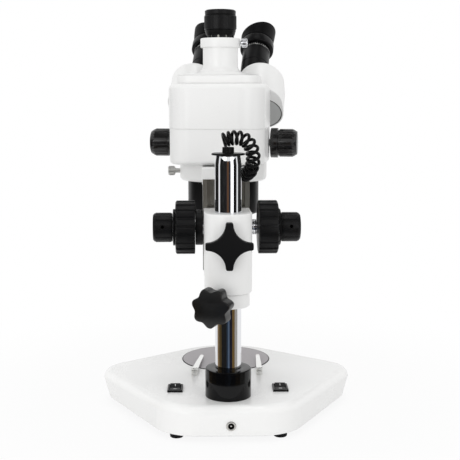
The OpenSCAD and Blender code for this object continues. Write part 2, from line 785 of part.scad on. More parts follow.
// Small lamp under the arm that lights the specimen from above
module top_lamp() {
    lamp_y = -slide_front - bracket_t - 8.5;
    tilt = 12;
    color([0.1, 0.1, 0.1]) on_carrier() {
        translate([0, lamp_y, ring_z - 2]) difference() {
            rotate([180 - tilt, 0, 0]) cylinder(r = lamp_r, h = lamp_l);
            translate([0, 0, 2]) cylinder(r = 20, h = 20);
            rotate([180 - tilt, 0, 0]) translate([0, 0, lamp_l - 3])
                cylinder(r = lamp_r - 1.2, h = 5);
        }
        translate([0, lamp_y, ring_z - 4]) cylinder(r = lamp_r - 0.7, h = 8);
    }
    color([0.95, 0.95, 0.9]) on_carrier() translate([0, lamp_y, ring_z - 2])
        rotate([180 - tilt, 0, 0]) translate([0, 0, lamp_l - 3])
            cylinder(r = lamp_r - 1.3, h = 2);
}
module thumbscrew(shank_r, from, shank_end, head_r, head_l) {
    translate([0, 0, from]) cylinder(r = shank_r, h = shank_end - from + 1);
    difference() {
        translate([0, 0, shank_end]) turned(head_r, head_l, 0.6);
        for (a = [0:15:359]) rotate([0, 0, a])
            translate([head_r + 0.25, 0, shank_end + 1]) cylinder(r = 0.55, h = head_l - 2, $fn = 16);
    }
}
module ring_screw() {
    color([0.75, 0.75, 0.76]) in_ring() translate([0, 0, ring_z + ring_h / 2])
        rotate([0, 90, 0]) thumbscrew(2.5, seat_d / 2 + 0.4, ring_d / 2 + 4.6, 5, 8);
}

// Body of the head at one inset, rounded at the bottom or at the top
module head_form(inset, h, low, top) {
    hull() for (x = [-1, 1], y = [-1, 1])
        translate([x * (head_w / 2 - head_r), head_back + y * (head_dp / 2 - head_r), 0])
            pebble(head_r - inset, h, low, top);
}
// Everything in front of the sloping face that the prism housings turn on
module ahead_of_slope(back) {
    translate([0, -pivot_f, pivot_z]) rotate([90 - view_angle, 0, 0])
        translate([-100, -100, -back]) cube([200, 200, 200]);
}
module head_lower() {
    color([0.9, 0.9, 0.9]) on_head() difference() {
        union() {
            translate([0, 0, head_z]) head_form(0.6, lower_h, 4, 0.4);
            translate([0, 0, ring_z]) cylinder(d = seat_d, h = head_z - ring_z + 5);
            translate([0, 0, head_z]) pebble(flange_r, flange_h, 1, 3, 96);
        }
        translate([0, 0, head_z + 6]) head_form(shell_wall, lower_h, 1, 0.5);
        translate([0, 0, ring_z - 1]) cylinder(d = seat_d - 10, h = head_z - ring_z + 3);
        translate([0, 4, ring_z]) cylinder(r = 26, h = head_z - ring_z + 7);
        translate([0, -zoom_f, zoom_z]) rotate([0, 90, 0])
            cylinder(r = zoom_shaft_r + run, h = through, center = true);
    }
}
module head_upper() {
    color([0.9, 0.9, 0.9]) on_head() {
        difference() {
            translate([0, 0, seam_z]) head_form(0, upper_h, 0.4, 5);
            translate([0, 0, seam_z - 2]) head_form(shell_wall, upper_h - 4, 1, 3);
            ahead_of_slope(gap);
        }
        intersection() {
            translate([0, 0, seam_z]) head_form(0, upper_h, 0.4, 5);
            translate([0, -pivot_f, pivot_z]) rotate([90 - view_angle, 0, 0])
                translate([-100, -100, -gap - shell_wall]) cube([200, 200, shell_wall]);
        }
        for (s = [-1, 1]) translate([s * pivot_x, -pivot_f, pivot_z])
            rotate([90 - view_angle, 0, 0]) translate([0, 0, -gap - 1])
                cylinder(r = pivot_r, h = pivot_l + gap + 1);
    }
}
module head_cap() {
    color([0.9, 0.9, 0.9]) on_head() difference() {
        union() {
            translate([0, 0, upper_top]) hull() for (x = [-1, 1], y = [-1, 1])
                translate([x * 26, head_back + 6 + y * 13, 0]) pebble(16, plate_h, 0.5, 1.5);
            translate([0, head_back, plate_top - 1]) cylinder(r1 = tube_d / 2 + 4, r2 = tube_d / 2, h = 7);
        }
        ahead_of_slope(gap + 1);
        translate([0, head_back, upper_top - 1]) cylinder(r = 12, h = 40);
    }
}
module objective_barrel() {
    color([0.06, 0.06, 0.06]) on_head() difference() {
        translate([0, 0, ring_z - barrel_l]) rotate_extrude()
            polygon([[0, 0], [30.4, 0], [30.4, 8], [barrel_d / 2 - 1.5, 8],
                [barrel_d / 2, 10], [barrel_d / 2, barrel_l], [0, barrel_l]]);
        translate([0, 0, ring_z - barrel_l - 1]) cylinder(r = 24, h = 7);
        translate([0, 0, ring_z - barrel_l + 5]) cylinder(r = 21, h = 6);
        translate([0, 0, ring_z - barrel_l + 10]) cylinder(r = barrel_d / 2 - 4, h = barrel_l);
    }
}
module objective_lens() {
    color([0.6, 0.75, 0.85]) on_head() translate([0, 0, ring_z - barrel_l + 6.1]) rotate_extrude()
        polygon(concat([[0, 3]], [[21 - fit, 3]],
            [for (a = [0:15:90]) [(21 - fit) * cos(a), 1.6 - 1.6 * sin(a)]]));
}
// Two zoom tubes stand on the floor of the lower shell, over the objective, with a bracket behind
module zoom_tubes() {
    r = 11;
    tube_x = 15;
    tube_y = 14;
    color([0.3, 0.3, 0.32]) on_head() translate([0, tube_y, head_z + 6]) {
        for (s = [-1, 1]) translate([s * tube_x, 0, 0]) tube(r, r - 2, 46);
        difference() {
            translate([-2 * r - 10, 6, 0]) cube([4 * r + 20, 16, 3]);
            for (s = [-1, 1]) translate([s * tube_x, 0, -1]) cylinder(r = r - 1, h = 6);
        }
    }
}
module zoom_shaft() {
    color([0.75, 0.75, 0.77]) on_head() translate([0, -zoom_f, zoom_z]) rotate([0, 90, 0]) {
        cylinder(r = zoom_shaft_r, h = 2 * (zoom_end - 4), center = true);
        for (s = [-1, 1]) translate([0, 0, s * 15 - 2.5]) cylinder(r = 6, h = 5);
    }
}
module zoom_knob(side) {
    from = head_w / 2 + 1;
    l = zoom_end - from;
    r = zoom_d / 2;
    color([0.06, 0.06, 0.06]) on_head() translate([0, -zoom_f, zoom_z])
        rotate([0, 90 * side, 0]) translate([0, 0, from]) difference() {
            rotate_extrude() polygon([[0, 0], [r + 0.4, 0], [r + 1, 0.6],
                [r + 1, zoom_flange - 0.5], [r + 0.5, zoom_flange], [r - 1.2, zoom_flange],
                [r - 1.2, zoom_flange + 1.2], [r - 0.3, zoom_flange + 1.2],
                [r, zoom_flange + 1.8], [r, l - 5], [r - 0.5, l - 2.5],
                [r - 1.6, l - 0.6], [r - 2.6, l], [0, l]]);
            translate([0, 0, -1]) cylinder(r = zoom_shaft_r + fit, h = l - 3);
            for (a = [0:15:359]) rotate([0, 0, a])
                translate([r + 0.5, 0, zoom_flange + 2.5]) cylinder(r = 0.9, h = l, $fn = 16);
        }
}
module zoom_knob_left() {
    zoom_knob(1);
}
module zoom_knob_right() {
    zoom_knob(-1);
}

module on_tube() {
    on_head() translate([0, head_back, 0]) children();
}
module camera_tube() {
    color([0.9, 0.9, 0.9]) on_tube() difference() {
        union() {
            translate([0, 0, plate_top + 6]) cylinder(d = tube_d, h = tube_h - 6);
            translate([0, 0, tube_top]) turned(clamp_d / 2, clamp_h, 0.8);
        }
        translate([0, 0, plate_top]) cylinder(r = 12, h = 80);
        translate([0, 0, tube_top - 4]) cylinder(r = 14, h = 80);
        translate([0, 0, tube_top + clamp_h / 2]) rotate([0, -90, 0])
            cylinder(r = 1.6 + run, h = 60);
    }
}
module camera_adapter() {
    color([0.05, 0.05, 0.05]) on_tube() difference() {
        translate([0, 0, tube_top - 4]) rotate_extrude()
            polygon([[0, 0], [14 - run, 0], [14 - run, clamp_h + 4 + neck_h],
                [14.5, clamp_h + 4 + neck_h], [16, clamp_h + 4 + neck_h + cone_h - 0.3],
                [13, clamp_h + 4 + neck_h + cone_h - 0.3],
                [13, clamp_h + 4 + neck_h + cone_h + sleeve_h + 0.3],
                [15.7, clamp_h + 4 + neck_h + cone_h + sleeve_h + 0.3],
                [15.9, clamp_h + 4 + neck_h + cone_h + sleeve_h + 4.2],
                [14.6, clamp_h + 4 + neck_h + cone_h + sleeve_h + dust_h],
                [0, clamp_h + 4 + neck_h + cone_h + sleeve_h + dust_h + 0.4]]);
        translate([0, 0, tube_top - 5]) cylinder(r = 10, h = clamp_h + sleeve_h + 8);
    }
}
module camera_sleeve() {
    color([0.07, 0.07, 0.07]) on_tube() translate([0, 0, sleeve_z]) difference() {
        turned(sleeve_d / 2, sleeve_h, 0.5);
        translate([0, 0, -1]) cylinder(r = 13 + run, h = sleeve_h + 2);
        for (a = [0:10:359]) rotate([0, 0, a])
            translate([sleeve_d / 2 + 0.3, 0, 1]) cylinder(r = 0.7, h = sleeve_h - 2, $fn = 16);
    }
}
module camera_screw() {
    color([0.8, 0.8, 0.82]) on_tube() translate([0, 0, tube_top + clamp_h / 2])
        rotate([0, -90, 0]) thumbscrew(1.6, 14.3, clamp_d / 2 + 1, 4.7, 6.5);
}

// Housing round one prism: a drum on the pivot blended into a drum round the eyepiece
module prism_housing(side) {
    color([0.88, 0.88, 0.88]) on_prism(side) difference() {
        hull() {
            pebble(prism_r1, prism_l - 8, 0.5, 5);
            translate([-side * 1.8, eye_up, 0]) pebble(prism_r2, prism_l, 0.5, 6);
        }
        translate([0, 0, -1]) cylinder(r = prism_r1 - 1.5, h = 1 + cover_t + 0.01);
        translate([0, 0, -1]) cylinder(r = pivot_r + run, h = pivot_l + 2);
        translate([-side * (pivot_x - eye_x), eye_up, prism_l - spigot_l - 2])
            cylinder(r = spigot_r + fit, h = through);
    }
}
module prism_housing_left() {
    prism_housing(1);
}
module prism_housing_right() {
    prism_housing(-1);
}
module prism_cover(side) {
    color([0.6, 0.6, 0.6]) on_prism(side)
        tube(prism_r1 - 1.5 - cover_gap, pivot_r + run, cover_t);
}
module prism_cover_left() {
    prism_cover(1);
}
module prism_cover_right() {
    prism_cover(-1);
}
module eyepiece(side) {
    color([0.07, 0.07, 0.07]) on_eyepiece(side) difference() {
        union() {
            translate([0, 0, prism_l - spigot_l]) cylinder(r = spigot_r, h = spigot_l + 2);
            translate([0, 0, prism_l]) turned(eye_d / 2, eye_l, 0.5);
            translate([0, 0, prism_l + eye_l - 1]) cylinder(r = neck_r, h = dioptre_h + 6);
        }
        translate([0, 0, prism_l - spigot_l - 1]) cylinder(r = 8, h = through);
        translate([0, 0, prism_l + eye_l + dioptre_h + 1]) cylinder(r = 10.5 + fit, h = 10);
    }
}
module eyepiece_left() {
    eyepiece(1);
}
module eyepiece_right() {
    eyepiece(-1);
}
module eye_lens(side) {
    color([0.4, 0.5, 0.6]) on_eyepiece(side)
        translate([0, 0, prism_l + eye_l + dioptre_h + 1]) rotate_extrude()
            polygon(concat([[0, 0], [10.5, 0]],
                [for (a = [0:15:90]) [10.5 * cos(a), 1.2 + 1.4 * sin(a)]]));
}
module eye_lens_left() {
    eye_lens(1);
}
module eye_lens_right() {
    eye_lens(-1);
}
module dioptre_ring(side) {
    color([0.05, 0.05, 0.05]) on_eyepiece(side) translate([0, 0, prism_l + eye_l + gap])
        difference() {
            turned(ring_eye_d / 2, dioptre_h - 2 * gap, 1.2);
            translate([0, 0, -1]) cylinder(r = neck_r + run, h = 20);
        }
}
module dioptre_ring_left() {
    dioptre_ring(1);
}
module dioptre_ring_right() {
    dioptre_ring(-1);
}
// Rubber cup whose outer side stands higher, to keep side light out
module eyecup(side) {
    r = cup_d / 2;
    slope = atan2(cup_high - cup_low, cup_d);
    color([0.08, 0.08, 0.08]) on_eyepiece(side)
        translate([0, 0, prism_l + eye_l + dioptre_h]) difference() {
            rotate_extrude()
                polygon([[neck_r + fit, 0], [r - 2.5, 0], [r - 1.2, 1.5], [r - 1.2, 5], [r - 0.6, 12],
                    [r, cup_high + 2], [r - cup_wall, cup_high + 2], [r - cup_wall - 1, 9],
                    [r - cup_wall - 2.2, 5], [neck_r + fit, 4.2]]);
            translate([0, 0, (cup_high + cup_low) / 2]) rotate([0, -side * slope, 0])
                translate([-50, -50, 0]) cube([100, 100, 50]);
        }
}
module eyecup_left() {
    eyecup(1);
}
module eyecup_right() {
    eyecup(-1);
}

// The curly cord as one fat tube along its route
function route_dir(i) = let (n = len(cord_route) - 1,
    d = i == 0 ? [0, 0, 1] : i == n ? [0, 1, 0]
        : cord_route[i + 1] - cord_route[i - 1]) d / norm(d);
function cord_ring(i) = let (d = route_dir(i), side = cross(d, [0, 0.8, -0.6]),
    u = side / norm(side), v = cross(d, u))
    [for (a = [0:36:359]) cord_route[i] + cord_d / 2 * (cos(a) * u + sin(a) * v)];
module lamp_cord() {
    n = len(cord_route);
    m = 10;
    points = [for (i = [0:n - 1], p = cord_ring(i)) [p[0], -p[1], p[2]]];
    faces = concat(
        [[for (k = [0:m - 1]) k]],
        [for (i = [0:n - 2], k = [0:m - 1])
            [i * m + k, (i + 1) * m + k, (i + 1) * m + (k + 1) % m, i * m + (k + 1) % m]],
        [[for (k = [m - 1:-1:0]) (n - 1) * m + k]]);
    color([0.05, 0.05, 0.05]) at_pillar() polyhedron(points, faces);
}

base_shell();
base_plate();
rubber_feet();
base_screws();
stage_plate();
lamp_board();
pillar_socket();
pillar();
pillar_cap();
power_jack();
switch_bezels();
clip_posts();
lamp_cord();
rocker_left();
rocker_right();
stage_clip_left();
stage_clip_right();
stop_collar();
collar_knob();
focus_housing();
cross_knob();
slide_guide();
shaft_bushes();
tension_ring();
coarse_shaft();
coarse_knob_left();
coarse_knob_right();
fine_knob_left();
fine_knob_right();
focus_slide();
focus_rack();
ring_arm();
cord_gland();
top_lamp();
ring_screw();
head_lower();
head_upper();
head_cap();
objective_barrel();
objective_lens();
zoom_tubes();
zoom_shaft();
zoom_knob_left();
zoom_knob_right();
camera_tube();
camera_adapter();
camera_sleeve();
camera_screw();
prism_housing_left();
prism_housing_right();
prism_cover_left();
prism_cover_right();
eyepiece_left();
eyepiece_right();
eye_lens_left();
eye_lens_right();
dioptre_ring_left();
dioptre_ring_right();
eyecup_left();
eyecup_right();
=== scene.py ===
import json
import math

import bmesh
import bpy
from mathutils import Matrix, Vector


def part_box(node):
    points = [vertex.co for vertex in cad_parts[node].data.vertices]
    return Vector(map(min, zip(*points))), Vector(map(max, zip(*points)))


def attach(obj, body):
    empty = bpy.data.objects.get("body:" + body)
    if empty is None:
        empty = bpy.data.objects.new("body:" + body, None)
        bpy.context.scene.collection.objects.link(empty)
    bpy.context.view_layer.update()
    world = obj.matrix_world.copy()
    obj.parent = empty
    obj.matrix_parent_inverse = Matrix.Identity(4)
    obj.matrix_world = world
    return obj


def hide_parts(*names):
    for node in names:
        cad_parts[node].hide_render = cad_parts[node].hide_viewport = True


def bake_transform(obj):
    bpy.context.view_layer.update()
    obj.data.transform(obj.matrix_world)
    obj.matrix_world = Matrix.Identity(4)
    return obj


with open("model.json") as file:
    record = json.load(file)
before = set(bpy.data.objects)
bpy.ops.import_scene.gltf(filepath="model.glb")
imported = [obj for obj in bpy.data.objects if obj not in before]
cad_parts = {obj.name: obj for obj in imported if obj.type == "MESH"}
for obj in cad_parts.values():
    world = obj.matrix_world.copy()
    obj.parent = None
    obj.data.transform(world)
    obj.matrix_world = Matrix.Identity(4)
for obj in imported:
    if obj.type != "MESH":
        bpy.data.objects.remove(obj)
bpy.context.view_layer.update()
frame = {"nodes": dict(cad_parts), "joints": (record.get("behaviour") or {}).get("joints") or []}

# The camera stands behind the instrument, a little to one side and at three quarters of its height,
# and looks slightly down. Its distance and lens are those that give the sizes seen in the photograph.
mm = 0.001
joints = {j["name"]: j for j in frame["joints"]}


def joint_at(name):
    """The place of a joint."""
    return Vector(joints[name]["pos_m"])


def on_bench(point):
    """The point of the bench straight below another."""
    return point * Vector((1, 1, 0))


pillar_foot = on_bench(joint_at("swivel"))
camera_data = bpy.data.cameras.new("camera")
camera_data.lens = 72.7
camera_data.sensor_width = 36
camera = bpy.data.objects.new("camera", camera_data)
camera.location = pillar_foot + Vector((0.018, 0.862, 0.316))
camera.rotation_euler = (math.radians(81.97), 0, math.radians(178.69))
bpy.context.scene.collection.objects.link(camera)
bpy.context.scene.camera = camera

# The curly cord takes power from the hollow pillar to the lamp in the arm. It is a thin rubber-covered
# lead wound into a spring: it leaves the cap's boss, bends over the edge and runs forward to the gland.
# The spring is drawn as three lengths that meet end to end, one for each joint that it bridges.
cord_wire = 3 * mm
cord_coil = 14.4 * mm
cord_turns = 15
cord_steps = 26
cord_joins = (0.46, 0.66)
coil_full = 0.88
cord_route = [
    (4.5, 0, 278), (0.5, 0, 279.4), (-4, 0, 280.3), (-9, 1, 280.4), (-14.5, 2, 279),
    (-19, 3.5, 275.3), (-22, 5.5, 270), (-23.5, 8, 263.5), (-23.5, 11, 257.5),
    (-22.5, 14.5, 252), (-21, 19, 248), (-19, 24, 245.5), (-17.5, 29, 244.3),
    (-17, 34, 244), (-17, 39, 244),
]


def srgb(red, green, blue):
    """A colour written as it looks on a screen, from 0 to 255, as the shader wants it."""
    return tuple(c / 255 / 12.92 if c < 10 else ((c / 255 + 0.055) / 1.055) ** 2.4
                 for c in (red, green, blue)) + (1,)


def ranged(nodes, low, high, to_low, to_high):
    """A node that maps one range of values on to another."""
    made = nodes.new("ShaderNodeMapRange")
    for socket, value in (("From Min", low), ("From Max", high), ("To Min", to_low), ("To Max", to_high)):
        made.inputs[socket].default_value = value
    return made


def surface(name, colour, rough, metal=0.0, specular=0.5, grain=300, fleck=0.03, relief=0.05,
            patch=14, stretch=(1, 1, 1)):
    """A finish with a fine grain in its surface and soft patches in its colour and gloss."""
    made = bpy.data.materials.new(name)
    made.use_nodes = True
    nodes = made.node_tree.nodes
    link = made.node_tree.links.new
    shader = nodes["Principled BSDF"]
    shader.inputs["Metallic"].default_value = metal
    shader.inputs["Specular IOR Level"].default_value = specular
    where = nodes.new("ShaderNodeTexCoord")
    spread = nodes.new("ShaderNodeMapping")
    spread.inputs["Scale"].default_value = stretch
    link(where.outputs["Object"], spread.inputs["Vector"])
    fine, soft_patch = nodes.new("ShaderNodeTexNoise"), nodes.new("ShaderNodeTexNoise")
    fine.inputs["Scale"].default_value = grain
    fine.inputs["Detail"].default_value = 5
    soft_patch.inputs["Scale"].default_value = patch
    link(spread.outputs["Vector"], fine.inputs["Vector"])
    link(spread.outputs["Vector"], soft_patch.inputs["Vector"])
    both = nodes.new("ShaderNodeMix")
    both.inputs["Factor"].default_value = 0.5
    link(fine.outputs["Fac"], both.inputs["A"])
    link(soft_patch.outputs["Fac"], both.inputs["B"])
    tone = nodes.new("ShaderNodeValToRGB")
    for stop, at, share in zip(tone.color_ramp.elements, (0.35, 0.65), (1 - fleck, 1 + fleck)):
        stop.position = at
        stop.color = [min(1, c * share) for c in colour[:3]] + [1]
    link(both.outputs["Result"], tone.inputs["Fac"])
    link(tone.outputs["Color"], shader.inputs["Base Color"])
    gloss = ranged(nodes, 0.3, 0.7, rough * 0.88, min(1, rough * 1.12))
    link(both.outputs["Result"], gloss.inputs["Value"])
    link(gloss.outputs["Result"], shader.inputs["Roughness"])
    bump = nodes.new("ShaderNodeBump")
    bump.inputs["Strength"].default_value = relief
    bump.inputs["Distance"].default_value = 0.3 * mm
    link(fine.outputs["Fac"], bump.inputs["Height"])
    link(bump.outputs["Normal"], shader.inputs["Normal"])
    return made


def skin(rings, closed=False):
    """A body over rings of points, one after the other. Its ends are capped, or meet if it closes."""
    body = bmesh.new()
    loops = [[body.verts.new(point) for point in ring] for ring in rings]
    if closed:
        loops.append(loops[0])
    for low, high in zip(loops, loops[1:]):
        for k in range(len(low)):
            n = (k + 1) % len(low)
            body.faces.new((low[k], low[n], high[n], high[k]))
    if not closed:
        body.faces.new(loops[0][::-1])
        body.faces.new(loops[-1])
    return body


def finished(name, body, look, sharp=32):
    """A mesh object from a body: doubles merged, faces outward, soft shading between real edges."""
    bmesh.ops.remove_doubles(body, verts=body.verts, dist=1e-6)
    bmesh.ops.recalc_face_normals(body, faces=body.faces)
    mesh = bpy.data.meshes.new(name)
    body.to_mesh(mesh)
    body.free()
    mesh.shade_smooth()
    mesh.set_sharp_from_angle(angle=math.radians(sharp))
    mesh.materials.append(look)
    made = bpy.data.objects.new(name, mesh)
    bpy.context.scene.collection.objects.link(made)
    return made


def curve_point(points, t):
    """The point at share t of a smooth curve through a list of points."""
    last = len(points) - 1
    i = min(int(t * last), last - 1)
    u = t * last - i
    before, a, b, after = (points[max(0, min(last, k))] for k in (i - 1, i, i + 1, i + 2))
    return 0.5 * (2 * a + (b - before) * u + (2 * before - 5 * a + 4 * b - after) * u * u
                  + (3 * a - before - 3 * b + after) * u ** 3)


def around(count, shift=0):
    """The angles of so many even steps round a circle."""
    return [2 * math.pi * (k + shift) / count for k in range(count)]


def wire(line, radius, sides=12):
    """A round wire along a line of points."""
    side = (line[1] - line[0]).orthogonal().normalized()
    rings = []
    for i, point in enumerate(line):
        ahead = (line[min(i + 1, len(line) - 1)] - line[max(i - 1, 0)]).normalized()
        side = (side - ahead * side.dot(ahead)).normalized()
        up = ahead.cross(side)
        rings.append([point + radius * (math.cos(a) * side + math.sin(a) * up) for a in around(sides)])
    return skin(rings)


route = [pillar_foot + Vector((x, -y, z)) * mm for x, y, z in cord_route]
coil_line = []
coil_count = cord_turns * cord_steps
side = Vector((0, 1, 0))
for i in range(coil_count + 1):
    t = i / coil_count
    ahead = (curve_point(route, min(1, t + 0.01)) - curve_point(route, max(0, t - 0.01))).normalized()
    side = (side - ahead * side.dot(ahead)).normalized()
    last = max(0, t - coil_full) / (1 - coil_full)
    opening = 1 - last ** 2 * (3 - 2 * last) + max(0, 0.3 - 20 * t)
    turn = math.pi / 2 + 2 * math.pi * cord_turns * (t - 0.06 * last ** 2)
    reach = (cord_coil - cord_wire) / 2 * opening
    coil_line.append(curve_point(route, t)
                     + reach * (math.cos(turn) * side + math.sin(turn) * ahead.cross(side)))

cord_rubber = surface("cord_rubber", srgb(10, 10, 11), 0.3, specular=0.15, grain=500, relief=0.04)
cuts = [0, *(round(coil_count * share) for share in cord_joins), coil_count]
stretches = [("coil_top", "root", "collar", Vector((-1, 0, 0))),
             ("coil_side", "collar", "carrier", Vector((0, 0, -1))),
             ("coil_front", "carrier", "arm", Vector((0, -1, 0)))]
for (name, body_a, body_b, way), low, high in zip(stretches, cuts, cuts[1:]):
    line = coil_line[low:high + 1]
    piece = finished(name, wire(line, cord_wire / 2), cord_rubber, sharp=60)
    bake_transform(piece)
    if low == 0:
        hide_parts("lamp_cord")

# The base is one white-painted aluminium casting, open below and 4 mm thick. Its top edge is rounded,
# and it is cut out for the stage plate, two switches and the power jack. A ring cast under the deck
# carries the plate.
base_discs = [(28, -13, 49), (58, -56, 45), (97, -94, 32), (0, -115, 75)]
base_wall = 4
base_deck = 5
base_round = 8.5
lean_most = 7
lean_from = 55
lean_over = 74
stage_forward = 128
stage_hole = 95.4
stage_ledge = 43.5
ledge_reach = 52.5
ledge_deep = 6
switch_spot = (51.5, -19)
switch_cut = (13.4, 19.4, 12)
jack_spot = (-2, 16)
jack_hole = 4.02


def heights(node):
    """The lowest and the highest level of a solid, in millimetres."""
    return [corner.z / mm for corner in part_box(node)]


def frame_at(origin, right, up):
    """A frame in millimetres with X to the right and Z along up."""
    z = Vector(up).normalized()
    x = (Vector(right) - z * Vector(right).dot(z)).normalized()
    turn = Matrix((x, z.cross(x), z)).transposed().to_4x4()
    return Matrix.Translation(origin) @ turn @ Matrix.Scale(mm, 4)


def soft(corners, steps=5):
    """An outline with rounded corners: each point's third number is the radius of its corner."""
    made = []
    for i, (x, y, radius) in enumerate(corners):
        corner = Vector((x, y))
        if radius == 0:
            made.append(corner)
            continue
        back = (Vector(corners[i - 1][:2]) - corner).normalized()
        on = (Vector(corners[(i + 1) % len(corners)][:2]) - corner).normalized()
        half = back.angle(on) / 2
        centre = corner + (back + on).normalized() * radius / math.sin(half)
        start = corner + back * radius / math.tan(half) - centre
        end = corner + on * radius / math.tan(half) - centre
        sweep = start.angle(end)
        for k in range(steps + 1):
            share = k / steps
            made.append(centre + (start * math.sin((1 - share) * sweep)
                                  + end * math.sin(share * sweep)) / math.sin(sweep))
    return made


def hull_point(discs, inset, angle):
    """The point of a hull of discs that faces one direction."""
    way = Vector((math.cos(angle), math.sin(angle)))
    x, y, radius = max(discs, key=lambda d: d[0] * way.x + d[1] * way.y + d[2])
    return Vector((x, y)) + (radius - inset) * way


def stacked(discs, profile, place, sides=180):
    """A body whose outline is a hull of discs, drawn in by each point of its profile."""
    return skin([[place @ Vector((*hull_point(discs, inset, a), z)) for a in around(sides, 0.5)]
                 for inset, z in profile])


def polar(reach, angle, z):
    """The point at an angle and a reach from the Z axis."""
    return Vector((reach * math.cos(angle), reach * math.sin(angle), z))


def turned(profile, place, sides=96):
    """A body turned round Z. A profile that starts and ends off the axis makes a ring."""
    return skin([[place @ polar(r, a, z) for a in around(sides)] for r, z in profile],
                closed=profile[0][0] > 0 and profile[-1][0] > 0)


def pipe(inner, outer, low, high, place, sides=96):
    """A turned ring with square edges, or a rod where its inner radius is nought."""
    return turned([(inner, low), (outer, low), (outer, high), (inner, high)], place, sides)


def block(size, centre, place, edge=0.0):
    """A box of one size round a centre, with its edges rounded."""
    body = bmesh.new()
    bmesh.ops.create_cube(body, size=1)
    for v in body.verts:
        v.co = Vector(size) * v.co + Vector(centre)
    if edge:
        bmesh.ops.bevel(body, geom=body.edges[:], offset=edge, segments=3, profile=0.5,
                        affect="EDGES")
    body.transform(place)
    return body


def settled(piece, sharp=None):
    """The piece with its modifiers made into one plain mesh."""
    graph = bpy.context.evaluated_depsgraph_get()
    mesh = bpy.data.meshes.new_from_object(piece.evaluated_get(graph))
    piece.modifiers.clear()
    piece.data = mesh
    if sharp:
        mesh.shade_smooth()
        mesh.set_sharp_from_angle(angle=math.radians(sharp))
    return piece


def carved(piece, *bodies, sharp=32):
    """The piece with the given bodies cut out of it."""
    tools = [finished("tool", body, piece.data.materials[0]) for body in bodies]
    for tool in tools:
        cut = piece.modifiers.new("cut", "BOOLEAN")
        cut.object = tool
    settled(piece, sharp)
    for tool in tools:
        bpy.data.objects.remove(tool)
    return piece


def even_light(piece):
    """Broad faces keep their own direction in the soft shading, so that flats stay flat."""
    weigh = piece.modifiers.new("even", "WEIGHTED_NORMAL")
    weigh.keep_sharp = True
    return settled(piece)


def belongs(piece, body, slot, *nodes):
    """The piece rides on its body and stands for its nodes. Its slot is not used."""
    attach(piece, body)
    if nodes:
        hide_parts(*nodes)


def fitted(name, body, look, rides_on, slot, *nodes, sharp=32):
    """A finished piece that rides on its body and stands for its nodes. Its slot is not used."""
    belongs(finished(name, body, look, sharp), rides_on, slot, *nodes)


def leant_in(body):
    """The wide corners of the base lean in towards the bench."""
    for v in body.verts:
        local = at_pillar.inverted() @ v.co
        wide = max(0, (abs(local.x) - lean_from) / lean_over)
        depth = max(0, 1 - local.z / (base_high - base_round))
        local.x -= math.copysign(lean_most * wide ** 2 * depth, local.x)
        v.co = at_pillar @ local
    return body


white_paint = surface("white_paint", srgb(236, 236, 235), 0.3, specular=0.4, grain=900,
                      fleck=0.006, relief=0.03)
base_paint = surface("base_paint", srgb(243, 243, 242), 0.26, specular=0.45, grain=900,
                     fleck=0.006, relief=0.03)
upright = (0, 0, 1)
base_low, base_high = heights("base_shell")
stage_low = base_high - 4.5
at_pillar = frame_at(pillar_foot, (1, 0, 0), upright)
at_stage = at_pillar @ Matrix.Translation((0, -stage_forward, 0))
both_sides = [(s * x, y, r) for x, y, r in base_discs for s in (1, -1)]
base_edge = soft([(0.6, base_low, 0), (0, base_low + 0.6, 0), (0, base_high, base_round),
                  (14, base_high, 0)], 8)
under_deck = base_high - base_deck
hollow = [(base_wall, base_low - 1), (base_wall, under_deck - 2), (base_wall + 2, under_deck)]
base_rear = max(y + r for x, y, r in base_discs)
at_jack = frame_at(at_pillar @ Vector((jack_spot[0], base_rear, jack_spot[1])), (1, 0, 0), (0, 1, 0))
base = finished("base_casting", leant_in(stacked(both_sides, base_edge, at_pillar)), base_paint)
carved(base, leant_in(stacked(both_sides, hollow, at_pillar)),
       pipe(0, stage_hole / 2, stage_low, base_high + 1, at_stage),
       pipe(0, stage_ledge, base_low, base_high, at_stage),
       pipe(0, jack_hole, -base_wall - 2, 2, at_jack, 48),
       *(block(switch_cut, (s * switch_spot[0], switch_spot[1], base_high), at_pillar) for s in (1, -1)))
even_light(base)
belongs(base, "root", "white_paint", "base_shell")
fitted("stage_ledge",
       pipe(stage_ledge, ledge_reach, under_deck - ledge_deep, under_deck + 0.5, at_stage), base_paint,
       "root", "white_paint")

# Under the base a steel plate closes the casting. It is held by a screw through each rubber foot, and
# the lamp board stands on it on three studs, below the stage plate.
plate_steel = surface("plate_steel", srgb(120, 121, 124), 0.5, metal=0.8, grain=250, fleck=0.05)
foot_rubber = surface("foot_rubber", srgb(18, 18, 18), 0.7, specular=0.12, grain=600, relief=0.2)
turned_steel = surface("turned_steel", srgb(196, 196, 198), 0.26, metal=1, grain=180, fleck=0.04,
                       relief=0.03)
board_green = surface("board_green", srgb(30, 84, 50), 0.45, grain=400)


def faced(look, *nodes):
    """Solids that are shown as they are, in one finish."""
    for name in nodes:
        frame["nodes"][name].data.materials.clear()
        frame["nodes"][name].data.materials.append(look)


plate_thick = 1.5
stud_count = 3
stud_reach = 3
stud_spot = 30
stud_high = 8.5
plate_low = heights("base_plate")[0]
fitted("floor_plate", leant_in(stacked(both_sides, [(base_wall + 0.5, plate_low),
    (base_wall + 0.3, plate_low + 0.2), (base_wall + 0.3, plate_low + plate_thick)], at_pillar)),
    plate_steel, "root", "plate_steel", "base_plate")
for k, a in enumerate(around(stud_count)):
    at_stud = at_stage @ Matrix.Rotation(a, 4, "Z") @ Matrix.Translation((stud_spot, 0, 0))
    fitted("board_stud_%d" % (k + 1),
           pipe(0, stud_reach, plate_low + 1.4, plate_low + stud_high, at_stud, 24), plate_steel,
           "root", "plate_steel")
faced(foot_rubber, "rubber_feet")
faced(turned_steel, "base_screws")
faced(board_green, "lamp_board")
